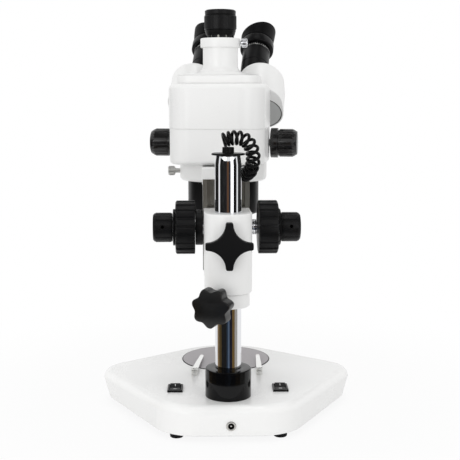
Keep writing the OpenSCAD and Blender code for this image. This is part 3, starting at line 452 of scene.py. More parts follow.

# The stage plate is a disc of grey frosted plastic, 95 mm across, that lies loose on its ledge. A thin
# dark ring round its edge is painted shade: it stands for the shadow in the gap where it meets the
# casting.
plate_low, plate_high = heights("stage_plate")
plate_reach = 47.5
rim_wide = 0.8
frosted_plate = surface("frosted_plate", srgb(158, 153, 156), 0.34, specular=0.4, grain=700,
                        fleck=0.04, relief=0.02)
# A dark finish for rings that stand in for the shadow in a narrow gap: painted shade.
painted_gap_shade = surface("painted_gap_shade", srgb(30, 30, 32), 0.5, specular=0.15)
fitted("stage_disc", pipe(0, plate_reach - rim_wide, plate_low, plate_high, at_stage), frosted_plate,
       "root", "frosted_plate", "stage_plate")
# The dark ring at the plate's edge is painted shade for the gap round the plate.
fitted("stage_gap_shade_ring", turned(soft([(plate_reach - rim_wide, plate_low, 0), (plate_reach, plate_low, 0.2),
    (plate_reach, plate_high, 0.3), (plate_reach - rim_wide, plate_high, 0)], 3), at_stage), painted_gap_shade,
    "root", "frosted_plate")

# Two stage clips hold a slide. Each is a strip of spring steel with an eye round its post: it rises
# from the post, dips on to the plate and turns up at the toe.
clip_steel = surface("clip_steel", srgb(232, 232, 230), 0.22, metal=1, grain=160, fleck=0.03,
                     relief=0.02, stretch=(1, 0.2, 1))
clip_blade = 1.0
clip_eye = 3.35
clip_hole = 2.05
clip_length = 62
clip_above = 3.8
clip_slices = 24
post_forward = 67
clip_toes = {"clip_left": 26, "clip_right": -35}
faced(clip_steel, "clip_posts")
for name, toe_x in clip_toes.items():
    post = on_bench(joint_at(name + "_swing"))
    along = pillar_foot + Vector((toe_x, -post_forward - clip_length, 0)) * mm - post
    reach = along.length / mm
    at_post = frame_at(post, Vector(upright).cross(along), upright)
    rings = []
    for k in range(clip_slices + 1):
        share = k / clip_slices
        rise = 0.6 * math.sin(math.pi * min(1, share * 1.1)) - 1.6 * share + 9 * max(0, share - 0.93)
        low = base_high + clip_above + rise
        half = 3.1 - 1.1 * share - (0.8 if k == clip_slices else 0)
        y = -2.6 - (reach - 2.6) * share
        rings.append([at_post @ Vector(p) for p in (
            (-half, y, low), (half, y, low), (half, y, low + clip_blade), (-half, y, low + clip_blade))])
    fitted(name + "_blade", skin(rings), clip_steel, name, "steel", "stage_" + name, sharp=40)
    low = base_high + clip_above
    fitted(name + "_eye", pipe(clip_hole, clip_eye, low, low + clip_blade, at_post, 48), clip_steel,
           name, "steel")

# The power jack is a nickel-plated ring that is pushed into the rear wall. It has a black moulded liner
# and a contact pin in its middle.
jack_nickel = surface("jack_nickel", srgb(190, 188, 184), 0.22, metal=1, grain=200)
jack_black = surface("jack_black", srgb(12, 12, 13), 0.5, specular=0.15)
fitted("jack_ring", turned(soft([(2.85, -13, 0), (4, -13, 0), (4, 0, 0), (4.5, 0, 0), (4.5, 1, 0.3),
    (2.85, 1, 0.25)], 3), at_jack, 48), jack_nickel, "root", "steel", "power_jack")
fitted("jack_liner",
       turned([(0, -10), (2.84, -10), (2.84, 0.4), (2.3, 0.4), (2.3, -9), (0, -9)], at_jack, 48),
       jack_black, "root", "steel")
fitted("jack_pin",
       turned(soft([(0, -10, 0), (1.05, -10, 0), (1.05, 0.2, 0.4), (0, 0.2, 0)], 3), at_jack, 32),
       jack_nickel, "root", "steel")

# Each switch is a black rocker in a moulded frame that snaps into the deck. The rocker tilts on two
# pins and has a stroke and a circle printed on its halves.
switch_frame = (15, 21)
switch_round = 1
rocker_lean = -9
rocker_half = 5
print_spot = (3.9, 2.42)
print_slope = math.atan2(1.8, 7.3)
rocker_side = [(-7.2, -2, 0.3), (0, -4.2, 0), (7.2, -2, 0.3), (7.3, 3.2, 0.5), (0, 1.4, 3),
               (-7.3, 3.2, 0.5)]
moulded_black = surface("moulded_black", srgb(15, 15, 16), 0.3, specular=0.16, grain=500, relief=0.03)
switch_print = surface("switch_print", srgb(205, 205, 205), 0.6, specular=0.2)
for s, name in ((1, "left"), (-1, "right")):
    spot = at_pillar @ Matrix.Translation((s * switch_spot[0], switch_spot[1], base_high))
    corners = [(x * (switch_frame[0] / 2 - switch_round), y * (switch_frame[1] / 2 - switch_round),
                switch_round) for x in (1, -1) for y in (1, -1)]
    fitted("switch_frame_" + name, stacked(corners, [(1, -14), (1, 0), (0, 0), (0, 1.6), (0.3, 2),
        (1.7, 2), (2, 1.6), (2, -6)], spot, 48), moulded_black, "root", "black_satin",
        *(["switch_bezels"] if s == 1 else []))
    leant = spot @ Matrix.Rotation(math.radians(rocker_lean), 4, "X")
    outline = soft(rocker_side, 4)
    sheets = [(rocker_half - 0.3, 0.3), (rocker_half, 0), (-rocker_half, 0), (0.3 - rocker_half, 0.3)]
    rings = [[leant @ Vector((x, p.x * (1 - draw / 8), p.y * (1 - draw / 8))) for p in outline]
             for x, draw in sheets]
    fitted("rocker_" + name + "_key", skin(rings), moulded_black, "rocker_" + name, "black_satin",
           "rocker_" + name)
    front, rear = (leant @ Matrix.Translation((0, way * print_spot[0], print_spot[1]))
                   @ Matrix.Rotation(way * print_slope, 4, "X") for way in (-1, 1))
    fitted("stroke_" + name, block((0.7, 3, 0.1), (0, 0, 0), front), switch_print, "rocker_" + name,
           "black_satin")
    fitted("circle_" + name, pipe(1.0, 1.6, -0.05, 0.05, rear, 32), switch_print, "rocker_" + name,
           "black_satin")

# A glossy black socket stands on the deck, held by three bolts from below, and the pillar is clamped
# in it. The pillar is a chromed steel tube with a cone at its top and a black cap with the cord's boss.
socket_reach = 22
pillar_reach = 12.5
pillar_bore = 7
pillar_cone = (1.15, 8.6)
cap_reach = 15.5
cap_thick = 1.8
boss_reach = 5.5
boss_high = 5.6
gloss_black = surface("gloss_black", srgb(8, 8, 9), 0.07, specular=0.2, grain=60, fleck=0.02,
                      relief=0.004)
chrome = surface("chrome", srgb(226, 227, 230), 0.03, metal=1, grain=120, fleck=0.01, relief=0.004)
cap_black = surface("cap_black", srgb(11, 11, 12), 0.32, specular=0.12, grain=500)
socket_low, socket_high = heights("pillar_socket")
pillar_low, pillar_high = heights("pillar")
fitted("socket", turned(soft([(pillar_reach + 0.02, socket_low, 0), (socket_reach, socket_low, 0.3),
    (socket_reach, socket_high, 1.2), (pillar_reach + 0.02, socket_high, 0.3)], 5), at_pillar, 144),
    gloss_black, "root", "black_gloss", "pillar_socket")
fitted("pillar_tube", turned(soft([(pillar_bore, pillar_low, 0), (pillar_reach, pillar_low, 0),
    (pillar_reach, pillar_high - pillar_cone[1], 6), (pillar_reach - pillar_cone[0], pillar_high, 0.2),
    (pillar_bore, pillar_high, 0)], 6), at_pillar, 144), chrome, "root", "chrome", "pillar")
cap_level = pillar_high + cap_thick
fitted("cap", turned(soft([(0, pillar_high - 6, 0), (pillar_bore - 0.1, pillar_high - 6, 0),
    (pillar_bore - 0.1, pillar_high, 0), (cap_reach, pillar_high, 0.4), (cap_reach, cap_level, 0.6),
    (boss_reach, cap_level, 0.5), (boss_reach, cap_level + boss_high, 0.7),
    (0, cap_level + boss_high, 0)], 4), at_pillar), cap_black, "root", "black_satin", "pillar_cap")

# The stop collar below the housing is a painted ring with a boss, and a moulded knob with seven
# lobes and a domed top draws it tight on the pillar.
collar_reach = 20.3
collar_bore = 12.55
collar_low, collar_high = heights("stop_collar")
boss_wide = 6.2
knob_lobes = 7
knob_reach = 18.6
knob_wave = 1.8
knob_rest = -15.2
knob_from = 33.5
knob_wall = 14
knob_dome = 5
knob_neck = 5
knob_points = 224
knob_black = surface("knob_black", srgb(14, 14, 15), 0.4, specular=0.45, grain=300, relief=0.02)


def joint_way(name):
    """The axis of a joint."""
    return Vector(joints[name]["axis"])


def rounded_ring(inner, outer, low, high, edge, place, sides=96):
    """A turned ring with rounded outer edges."""
    return turned(soft([(inner, low, 0), (outer, low, edge), (outer, high, edge), (inner, high, 0)], 4),
                  place, sides)


turn_axis = joint_way("collar_clamp")
at_collar_knob = frame_at(joint_at("collar_clamp"), turn_axis.cross(upright), turn_axis)
fitted("collar_ring",
       rounded_ring(collar_bore, collar_reach, collar_low, collar_high, 0.8, at_pillar, 144),
       white_paint, "collar", "white_paint", "stop_collar")
fitted("collar_boss", rounded_ring(3.05, boss_wide, 13.5, collar_reach + 0.8, 0.4, at_collar_knob, 48),
       white_paint, "collar", "white_paint")
rings = []
steps = [(0, 0, 0), (0.9, 0, 0), (0.97, 0.02, 0), (0.995, 0.08, 0), (1, 0.2, 0), (1, 0.6, 0), (1, 1, -0.9),
         (0.993, 1, -0.35)] + [(k / 12, 1, 0) for k in (11.7, 11, 10, 9, 8, 7, 6, 5, 4, 3, 2, 1, 0)]
for share, rise, dip in steps:
    ring = []
    for a in around(knob_points):
        edge = knob_reach - knob_wave + knob_wave * math.cos(knob_lobes * (a - math.radians(knob_rest)))
        q = share * edge
        top = knob_wall + knob_dome * (1 - (q / knob_reach) ** 2)
        ring.append(at_collar_knob @ polar(q, a, knob_from + rise * top + dip))
    rings.append(ring)
fitted("lobed_knob", skin(rings), knob_black, "collar_knob", "black_gloss", "collar_knob", sharp=50)
fitted("lobed_stem", turned([(0, 13), (3, 13), (3, 21.3), (knob_neck, 21.3),
    (knob_neck, knob_from + 0.2), (0, knob_from + 0.2)], at_collar_knob, 48), knob_black, "collar_knob",
    "black_gloss")

# The focus housing is a painted casting: a tube round the pillar with a square block in front that
# carries the dovetail. A moulded knob with four arms clamps it from behind.
tube_reach = 22.5
block_front = 45.5
block_rise = 12
block_rear = 12.8
housing_low, housing_high = heights("focus_housing")
right = joint_way("tension")
backward = joint_way("housing_clamp")
at_carrier = frame_at(pillar_foot, right, upright)
cross_reach = 22
cross_notch = (29.98, 17.8)
cross_from = 26.5
cross_thick = 8
cross_black = surface("cross_black", srgb(16, 16, 17), 0.4, specular=0.16, grain=450, relief=0.08)
fitted("housing_tube",
       rounded_ring(collar_bore, tube_reach, housing_low, housing_high, 1, at_carrier, 144),
       white_paint, "carrier", "white_paint", "focus_housing")
block_size = (2 * tube_reach, block_front - block_rear, housing_high - housing_low - block_rise - 1)
block_centre = (0, -(block_front + block_rear) / 2, (housing_low + block_rise + housing_high - 1) / 2)
casting = finished("housing_block", block(block_size, block_centre, at_carrier, 0.8), white_paint)
carved(casting, pipe(0, collar_bore, 100, 300, at_carrier))
belongs(even_light(casting), "carrier", "white_paint")
at_cross = frame_at(joint_at("housing_clamp"), backward.cross(upright), backward)
fitted("housing_boss", turned(soft([(4.05, 13, 0), (8, 13, 0), (8, cross_from - 1.2, 0.5),
    (4.05, cross_from - 1.2, 0)]), at_cross, 48), white_paint, "carrier", "white_paint")


def drawn_in(outline, inset):
    """A closed outline moved inwards, away from its normals."""
    made = []
    for i, point in enumerate(outline):
        along = outline[(i + 1) % len(outline)] - outline[i - 1]
        made.append(point + Vector((-along.y, along.x)).normalized() * inset)
    return made


arm = []
away, notch = cross_notch
bite = math.acos((cross_reach ** 2 + away ** 2 - notch ** 2) / (2 * cross_reach * away))
for q in range(4):
    middle = math.pi / 2 * q
    tip = math.pi / 4 - bite
    arm += [cross_reach * Vector((math.cos(a), math.sin(a)))
            for a in (middle + tip * (k / 3 - 1) * 0.75 for k in range(7))]
    hub = away * Vector((math.cos(middle + math.pi / 4), math.sin(middle + math.pi / 4)))
    start = cross_reach * Vector((math.cos(middle + tip), math.sin(middle + tip))) - hub
    turn = 2 * math.atan2(cross_reach * math.sin(bite), away - cross_reach * math.cos(bite))
    for k in range(1, 24):
        a = math.atan2(start.y, start.x) - turn * k / 24
        arm.append(hub + notch * Vector((math.cos(a), math.sin(a))))
profile = [(1.0, 0), (0.3, 0.3), (0, 1), (0, cross_thick - 1.4), (0.35, cross_thick - 0.5),
           (1.2, cross_thick)]
cross = finished("cross_key", skin([[at_cross @ Vector((*p, cross_from + z)) for p in drawn_in(arm, inset)]
                                    for inset, z in profile]), cross_black, sharp=60)
belongs(even_light(cross), "cross_knob", "black_satin", "cross_knob")
fitted("cross_stem", turned([(0, 13), (4, 13), (4, cross_from - 0.9), (7, cross_from - 0.9),
    (7, cross_from + 0.3), (0, cross_from + 0.3)], at_cross, 48), cross_black, "cross_knob",
    "black_satin")

# The focus moves on a milled dovetail. Its tongue is screwed to the housing, and the slide that wraps
# it carries the rack and the arm.
milled = surface("milled", srgb(132, 131, 125), 0.3, metal=0.9, grain=420, fleck=0.3, relief=0.05,
                 patch=110, stretch=(1, 1, 0.02))
rack_brass = surface("rack_brass", srgb(176, 148, 84), 0.35, metal=1, grain=300)
faced(milled, "slide_guide", "focus_slide")
faced(rack_brass, "focus_rack")

# The focus drive is a steel pinion on a hollow shaft with a ribbed coarse knob at each end, and the
# shaft of the two smaller fine knobs runs through it. Chromed bushes carry it, and a black drum on one
# side sets how stiff it turns. Ribs and teeth are copies of one that a node tree sets round the axis.
shaft_centre = joint_at("coarse_turn")
bush_reach = 7.5
bush_end = 30.3
drum_from = 23.3
drum_reach = 17.4
coarse_from = 30.8
coarse_to = coarse_from + 19.5
coarse_reach = 26.15
coarse_ribs = 20
shaft_bore = 5.02
inner_bore = 3.02
cheek_reach = 17.85
cheek_wide = 2
fine_from = 52.8
fine_wide = 18.9
fine_to = fine_from + fine_wide
fine_reach = 14.4
fine_ribs = 10
fine_hole = 1.7
hole_rise = math.tan(math.radians(9))
shaft_half = 52.2
inner_half = 67
pinion_teeth = 16
pinion_root = 5.4
pinion_wide = 9
knob_rubber = surface("ribbed_black", srgb(18, 18, 19), 0.36, specular=0.18, grain=420, relief=0.05)

ring_tree = bpy.data.node_groups.new("ring_of_copies", "GeometryNodeTree")
sockets = {label: ring_tree.interface.new_socket(label, in_out="INPUT", socket_type="NodeSocket" + kind)
           for label, kind in (("Rib", "Geometry"), ("Count", "Int"), ("Finish", "Material"))}
ring_tree.interface.new_socket("Ring", in_out="OUTPUT", socket_type="NodeSocketGeometry")
make, join = ring_tree.nodes.new, ring_tree.links.new
given, result = make("NodeGroupInput"), make("NodeGroupOutput")
points, index = make("GeometryNodePoints"), make("GeometryNodeInputIndex")
pitch, angle, turn = make("ShaderNodeMath"), make("ShaderNodeMath"), make("ShaderNodeCombineXYZ")
pitch.operation, angle.operation = "DIVIDE", "MULTIPLY"
pitch.inputs[0].default_value = 2 * math.pi
copies, real = make("GeometryNodeInstanceOnPoints"), make("GeometryNodeRealizeInstances")
finish = make("GeometryNodeSetMaterial")
join(given.outputs["Count"], points.inputs["Count"])
join(given.outputs["Count"], pitch.inputs[1])
join(index.outputs["Index"], angle.inputs[0])
join(pitch.outputs["Value"], angle.inputs[1])
join(angle.outputs["Value"], turn.inputs["Z"])
join(points.outputs[0], copies.inputs["Points"])
join(given.outputs["Rib"], copies.inputs["Instance"])
join(turn.outputs["Vector"], copies.inputs["Rotation"])
join(copies.outputs["Instances"], real.inputs["Geometry"])
join(real.outputs["Geometry"], finish.inputs["Geometry"])
join(given.outputs["Finish"], finish.inputs["Material"])
join(finish.outputs["Geometry"], result.inputs["Ring"])


def rib(profile, span, ease, steps=4):
    """A stretch of a turned ring, span degrees wide, whose two ends slope down by ease."""
    reach = max(r for r, z in profile)
    floor = min(r for r, z in profile)
    half = math.radians(span) / 2
    slope = ease / reach
    angles = [-half] + [-half + slope + (2 * half - 2 * slope) * k / steps for k in range(steps + 1)]
    rings = []
    for a in angles + [half]:
        drop = ease if abs(a) == half else 0
        rings.append([polar(max(floor, r - drop), a, z) for r, z in profile])
    return skin(rings)


def ring_of(name, body, count, look, place):
    """A plain mesh of copies of one body round the Z axis of a place."""
    made = finished(name, body, look)
    ring = made.modifiers.new("ring", "NODES")
    ring.node_group = ring_tree
    ring[sockets["Count"].identifier] = count
    ring[sockets["Finish"].identifier] = look
    settled(made)
    made.data.transform(place)
    return made


bush_profile = {1: [(5.05, 6), (bush_reach, 6), (bush_reach, bush_end), (5.05, bush_end)],
                -1: soft([(5.05, 6, 0), (bush_reach, 6, 0), (bush_reach, 24.6, 0.3), (6.7, 24.6, 0),
                          (6.7, 25.3, 0), (bush_reach, 25.3, 0.3), (bush_reach, 28.6, 0.4),
                          (6.9, 28.6, 0), (6.9, bush_end, 0.3), (5.05, bush_end, 0)], 3)}
fitted("tension_drum", rounded_ring(bush_reach + 0.05, drum_reach, drum_from, bush_end + 0.2, 0.9,
    frame_at(shaft_centre, upright, right)), knob_rubber, "tension_ring", "black_satin", "tension_ring")
for s, name in ((1, "left"), (-1, "right")):
    at_side = frame_at(shaft_centre, upright, s * right)
    fitted("bush_" + name, turned(bush_profile[s], at_side, 64), chrome, "carrier", "chrome",
           *(["shaft_bushes"] if s == 1 else []))
    fitted("coarse_core_" + name, turned(soft([(shaft_bore, coarse_from, 0),
        (coarse_reach - 1.1, coarse_from, 1), (coarse_reach - 1.1, coarse_to - 0.6, 1.2),
        (cheek_reach - 1, coarse_to, 0), (shaft_bore, coarse_to, 0)], 3), at_side), knob_rubber,
        "coarse_drive", "black_satin", "coarse_knob_" + name)
    belongs(ring_of("coarse_ribs_" + name, rib(soft([(coarse_reach - 2, coarse_from + 0.2, 0),
        (coarse_reach, coarse_from, 0.9), (coarse_reach, coarse_to - 1.5, 1.4),
        (coarse_reach - 2, coarse_to - 0.5, 0)], 3), 360 / coarse_ribs - 4.6, 0.7), coarse_ribs,
        knob_rubber, at_side), "coarse_drive", "black_satin")
    fitted("cheek_" + name,
           rounded_ring(shaft_bore, cheek_reach, coarse_to + 0.02, coarse_to + cheek_wide, 0.5, at_side),
           moulded_black, "coarse_drive", "black_satin")
    core = finished("fine_core_" + name, turned(soft([
        (inner_bore, fine_from, 0), (fine_reach - 0.5, fine_from, 0.7),
        (fine_reach - 0.5, fine_to - 1.6, 0.8), (fine_reach - 2.2, fine_to, 0.8),
        (inner_bore, fine_to, 0)], 4), at_side), knob_rubber)
    middle = shaft_centre + s * right * (fine_from + fine_wide / 2) * mm
    at_hole = frame_at(middle, upright, backward + hole_rise * Vector(upright))
    carved(core, pipe(0, fine_hole, 4, 20, at_hole, 32))
    belongs(core, "fine_drive", "black_satin", "fine_knob_" + name)
    fitted("fine_plug_" + name, pipe(0, 3.1, fine_to - 5, fine_to - 0.5, at_side, 48), knob_rubber,
           "fine_drive", "black_satin")
    panels = ring_of("fine_panels_" + name, rib(soft([
        (fine_reach - 1.4, fine_from + 1.2, 0), (fine_reach, fine_from + 1.2, 0.4),
        (fine_reach, fine_to - 2.6, 0.6), (fine_reach - 1.4, fine_to - 2.2, 0)], 3),
        360 / fine_ribs - 3.4, 0.35, 8), fine_ribs, knob_rubber,
        at_side @ Matrix.Rotation(math.radians(90 * s + 18), 4, "Z"))
    carved(panels, pipe(0, fine_hole, 4, 20, at_hole, 32))
    belongs(panels, "fine_drive", "black_satin")
at_side = frame_at(shaft_centre, upright, right)
fitted("drive_shaft", pipe(3.05, 5, -shaft_half, shaft_half, at_side, 64), turned_steel, "coarse_drive",
       "steel", "coarse_shaft")
fitted("pinion_core", pipe(4.9, pinion_root, -pinion_wide / 2, pinion_wide / 2, at_side, 64),
       turned_steel, "coarse_drive", "steel")
tooth = skin([[Vector((x, y, z)) for x, y in ((pinion_root - 0.2, -0.95), (7.05, -0.3), (7.05, 0.3),
                                              (pinion_root - 0.2, 0.95))]
              for z in (-pinion_wide / 2, pinion_wide / 2)])
belongs(ring_of("pinion_teeth", tooth, pinion_teeth, turned_steel, at_side), "coarse_drive", "steel")
fitted("fine_shaft", pipe(0, 3, -inner_half, inner_half, at_side, 48), turned_steel, "fine_drive",
       "steel")

# The arm is a painted casting: a ring that takes the head's round seat, joined by a square neck to the
# bracket on the slide. The cord ends in a black gland beside the neck, a small lamp hangs under it, and
# a knurled screw through the ring clamps the head.
ring_centre = on_bench(joint_at("head_turn"))
at_ring = frame_at(ring_centre, right, upright)
arm_high = heights("ring_arm")[1]
ring_reach = 46
ring_bore = 38.05
ring_thick = 19
ring_low = arm_high - ring_thick
arm_wide = 47
arm_reach = 128
slide_front = 61.8
bracket_thick = 5
bracket_high = 50
slide_high = heights("focus_slide")[1]
fitted("arm_ring", turned(soft([(ring_bore, ring_low, 0), (ring_reach, ring_low, 4),
    (ring_reach, arm_high, 1), (ring_bore, arm_high, 0.3)], 5), at_ring, 144), white_paint, "arm",
    "white_paint", "ring_arm")
neck_from, neck_to = -arm_reach + ring_reach - 5, -slide_front + 4
heel_from, heel_to = -slide_front - 4, -block_front + 1.5
for name, size, centre, edge in (
        ("arm_neck", (arm_wide, neck_to - neck_from, ring_thick - 0.5),
         (0, (neck_from + neck_to) / 2, ring_low + (ring_thick - 0.5) / 2), 1),
        ("arm_heel", (arm_wide, heel_to - heel_from, arm_high - slide_high - 0.5),
         (0, (heel_from + heel_to) / 2, (slide_high + arm_high - 0.5) / 2), 1),
        ("arm_bracket", (arm_wide - 1, bracket_thick, bracket_high),
         (0, -slide_front - bracket_thick / 2, slide_high - 19), 0.8)):
    square = finished(name, block(size, centre, at_carrier, edge), white_paint)
    belongs(even_light(square), "arm", "white_paint")
gland_low, gland_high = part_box("cord_gland")
at_gland = frame_at((Vector(gland_low) + Vector(gland_high)) / 2, upright, backward)
fitted("gland", turned(soft([(0, -2.5, 0), (5.5, -2.5, 0.3), (5.5, 1.6, 0.8), (2.6, 2.5, 0.6),
    (0, 2.5, 0)], 4), at_gland, 64), cap_black, "arm", "black_satin", "cord_gland")
screw_silver = surface("screw_silver", srgb(216, 216, 213), 0.3, metal=1, grain=240, fleck=0.06)


def thumbscrew(name, body, slot, look, place, shank, start, neck, reach, length, knurls=24):
    """A screw for the fingers: shank and collar in one turned piece, and a ring of knurls on its head."""
    fitted(name + "_core", turned(soft([(0, start, 0), (shank, start, 0), (shank, neck - 0.1, 0),
        (reach * 0.62, neck - 0.1, 0), (reach * 0.62, neck + 0.8, 0), (reach - 0.35, neck + 0.8, 0.4),
        (reach - 0.35, neck + length, 0.7), (reach * 0.6, neck + length, 0.3),
        (reach * 0.55, neck + length - 0.4, 0), (0, neck + length - 0.4, 0)], 3), place, 64), look,
        body, slot, body)
    belongs(ring_of(name + "_knurl", rib([(reach - 0.7, neck + 1.5), (reach, neck + 1.9),
        (reach, neck + length - 1.3), (reach - 0.7, neck + length - 0.9)], 9.5, 0.3, 1), knurls,
        look, place), body, slot)


thumbscrew("ring_thumbscrew", "ring_screw", "steel", screw_silver,
           frame_at(joint_at("ring_clamp"), upright, right),
           shank=2.5, start=38.4, neck=50.6, reach=5, length=8)
lamp_lean = math.radians(12)
lamp_way = (-math.sin(lamp_lean) * backward - math.cos(lamp_lean) * Vector(upright)).normalized()
lamp_black = surface("lamp_black", srgb(16, 16, 17), 0.4, metal=0.2, specular=0.15)
lamp_glass = surface("lamp_glass", srgb(226, 226, 216), 0.25, specular=0.5, grain=500)
at_lamp = frame_at(pillar_foot - backward * (slide_front + bracket_thick + 8.5) * mm
                   + Vector((0, 0, ring_low - 2)) * mm, right, lamp_way)
lamp = finished("arm_lamp", turned(soft([
    (0, -3, 0), (6.5, -3, 0), (6.5, 20, 0.5), (5.3, 20, 0), (5.3, 17, 0), (0, 17, 0)], 3), at_lamp, 64),
    lamp_black)
above_lamp = frame_at(on_bench(at_lamp.translation), right, upright)
carved(lamp, pipe(0, 14, ring_low, ring_low + 9, above_lamp, 32))
belongs(lamp, "arm", "black_anodised", "top_lamp")
fitted("arm_lamp_lens",
       turned(soft([(0, 16.9, 0), (5.2, 16.9, 0), (5.2, 18.4, 0.5), (0, 19, 0)], 3), at_lamp, 64),
       lamp_glass, "arm", "lens")

# The head is two painted castings and a cap plate. The lower one has the round seat and a flange that
# rests on the ring; the upper one is cut off at a slope in front, where the prism housings turn.
head_right = joint_way("zoom_turn")
at_head = frame_at(ring_centre, head_right, upright)
head_half = (49.5, 47)
head_corner = 26
head_back = 20
seat_reach = 38
flange_reach = 45
slope_z = joints["eyes_left"]["pos_m"][2] / mm
slope_y = -20
head_discs = [(x * (head_half[0] - head_corner), head_back + y * (head_half[1] - head_corner), head_corner)
              for x in (1, -1) for y in (1, -1)]
lower_base = arm_high + 0.3
seam = heights("head_upper")[0]
cap_base = heights("head_cap")[0]
cap_top = cap_base + 8.5
cap_rise = 3.6
cap_points = around(180, 0.5)
rise_slices = 8
lower = finished("head_lower_shell", stacked(head_discs, soft([
    (9, lower_base, 0), (0.6, lower_base, 4), (0.6, seam, 0.5), (9, seam, 0)], 6), at_head), white_paint)
belongs(even_light(lower), "head", "white_paint", "head_lower")
fitted("head_flange", turned(soft([(30, lower_base, 0), (flange_reach, lower_base, 0.8),
    (flange_reach, lower_base + 7, 3), (30, lower_base + 7, 0)]), at_head, 144), white_paint, "head",
    "white_paint")
fitted("head_spigot", pipe(33, seat_reach, ring_low, lower_base + 1, at_head, 144), white_paint, "head",
       "white_paint")


def ahead_of_slope(back):
    """What stands in front of the sloping plane that the prism housings turn on."""
    turn = Matrix.Rotation(math.radians(45), 4, "X")
    return block((200, 200, 100), (0, 0, 50 - back),
                 at_head @ Matrix.Translation((0, slope_y, slope_z)) @ turn)


upper = finished("head_upper_shell", stacked(head_discs, soft([
    (9, seam, 0), (0, seam, 0.5), (0, cap_base, 5), (9, cap_base, 0)], 7), at_head), white_paint)
belongs(even_light(carved(upper, ahead_of_slope(0.3))), "head", "white_paint", "head_upper")
for s, name in ((1, "left"), (-1, "right")):
    at_hinge = frame_at(joint_at("eyes_" + name), head_right, joint_way("eyes_" + name))
    fitted("head_pivot_" + name, pipe(5, 9, -2, 7, at_hinge, 64), white_paint, "head", "white_paint")
cap_discs = [(x * 26, head_back + 6 + y * 13, 16) for x in (1, -1) for y in (1, -1)]
tube_disc = [(0, head_back, 24.5)]
edge = soft([(8, cap_base, 0), (0.6, cap_base, 0), (0, cap_base + 0.8, 0.3), (0, cap_top, 2),
             (1, cap_top, 0)], 5)
rings = [[at_head @ Vector((*hull_point(cap_discs, inset, a), z)) for a in cap_points]
         for inset, z in edge]
for k in range(1, rise_slices + 1):
    share = k / rise_slices
    rings.append([at_head @ Vector((*hull_point(cap_discs, 1, a).lerp(hull_point(tube_disc, 0, a), share),
                                    cap_top + cap_rise * share)) for a in cap_points])
plate = finished("head_cap_plate", skin(rings), white_paint)
belongs(even_light(carved(plate, ahead_of_slope(1.3))), "head", "white_paint", "head_cap")

# The objective screws into the seat from below: a black anodised barrel with a front lens. The zoom
# tubes above it are closed in by the castings.
barrel_low = heights("objective_barrel")[0]
barrel_reach = 37.5
barrel_step = barrel_low + 10
anodised = surface("anodised_black", srgb(16, 16, 17), 0.36, metal=0.15, specular=0.15, grain=600,
                   relief=0.03)
coated_lens = surface("coated_lens", srgb(60, 84, 120), 0.05, specular=0.7, grain=50, fleck=0.02,
                      relief=0.0)
fitted("objective", turned(soft([(21, barrel_step, 0), (21, barrel_low + 6, 0), (24, barrel_low + 6, 0),
    (24, barrel_low, 0.3), (30.4, barrel_low, 0.4), (30.4, barrel_low + 8, 0), (36, barrel_low + 8, 0),
    (barrel_reach, barrel_step, 0.5), (barrel_reach, ring_low, 0), (33.5, ring_low, 0),
    (33.5, barrel_step, 0)], 4), at_head, 144), anodised, "head", "black_anodised", "objective_barrel")
faced(coated_lens, "objective_lens")
faced(milled, "zoom_tubes")
faced(turned_steel, "zoom_shaft")

# A zoom knob sits on each end of the zoom shaft: a smooth flange beside the head and a grip with 24
# ribs and a rounded end.
zoom_from = 50.5
zoom_step = zoom_from + 7.5
zoom_to = zoom_from + 27.8
zoom_reach = 14.65
zoom_ribs = 24
zoom_black = surface("zoom_black", srgb(23, 22, 22), 0.2, specular=0.5, grain=300, relief=0.02)
for s, name in ((1, "left"), (-1, "right")):
    at_zoom = frame_at(joint_at("zoom_turn"), upright, s * head_right)
    fitted("zoom_core_" + name, turned(soft([(4.02, zoom_from, 0), (zoom_reach + 1, zoom_from, 0.5),
        (zoom_reach + 1, zoom_step, 0.5), (zoom_reach - 1.2, zoom_step, 0),
        (zoom_reach - 1.2, zoom_step + 1.2, 0), (zoom_reach - 0.5, zoom_step + 1.2, 0.2),
        (zoom_reach - 0.5, zoom_to - 4, 3), (zoom_reach - 2.6, zoom_to, 0.8), (0, zoom_to, 0),
        (0, zoom_to - 3, 0), (4.02, zoom_to - 3, 0)], 4), at_zoom), zoom_black, "zoom", "black_satin",
        "zoom_knob_" + name)
    belongs(ring_of("zoom_ribs_" + name, rib(soft([(zoom_reach - 1.2, zoom_step + 1.8, 0),
        (zoom_reach, zoom_step + 1.8, 0.3), (zoom_reach, zoom_to - 5, 1.5),
        (zoom_reach - 1.2, zoom_to - 2.4, 0)], 3), 360 / zoom_ribs - 4.5, 0.25, 3), zoom_ribs,
        zoom_black, at_zoom), "zoom", "black_satin")

# The camera tube rises from the cap plate in a smooth flare and ends in a clamp ring with a thumbscrew.
# It holds the black camera adapter with its slotted neck, knurled focus sleeve and dust cap.
at_tube = frame_at(on_bench(joint_at("camera_focus")), head_right, upright)
camera_reach = 17.9
clamp_reach = 20.4
clamp_low = cap_top + 28
clamp_high = clamp_low + 9.5
cone_low = clamp_high + 3
sleeve_low = cone_low + 5.5
sleeve_high = sleeve_low + 14.6
sleeve_reach = 16.55
neck_posts = 10
sleeve_ribs = 60
tube_foot = cap_top + cap_rise - 0.4
flare = [(camera_reach + 6.5 * (1 - math.sin(math.pi / 2 * k / 8)),
          tube_foot + 7 * (1 - math.cos(math.pi / 2 * k / 8))) for k in range(9)]
fitted("camera_tube_body", turned([(12, tube_foot)] + flare
    + [(camera_reach, clamp_low), (14, clamp_low), (14, clamp_low - 4), (12, clamp_low - 4)], at_tube,
    144), white_paint, "head", "white_paint", "camera_tube", sharp=50)
fitted("camera_clamp_ring", rounded_ring(14, clamp_reach, clamp_low, clamp_high, 0.9, at_tube, 144),
       white_paint, "head", "white_paint")
thumbscrew("camera_thumbscrew", "camera_screw", "chrome", chrome,
           frame_at(joint_at("camera_clamp"), upright, joint_way("camera_clamp")),
           shank=1.6, start=14.3, neck=21.4, reach=4.7, length=6.5)
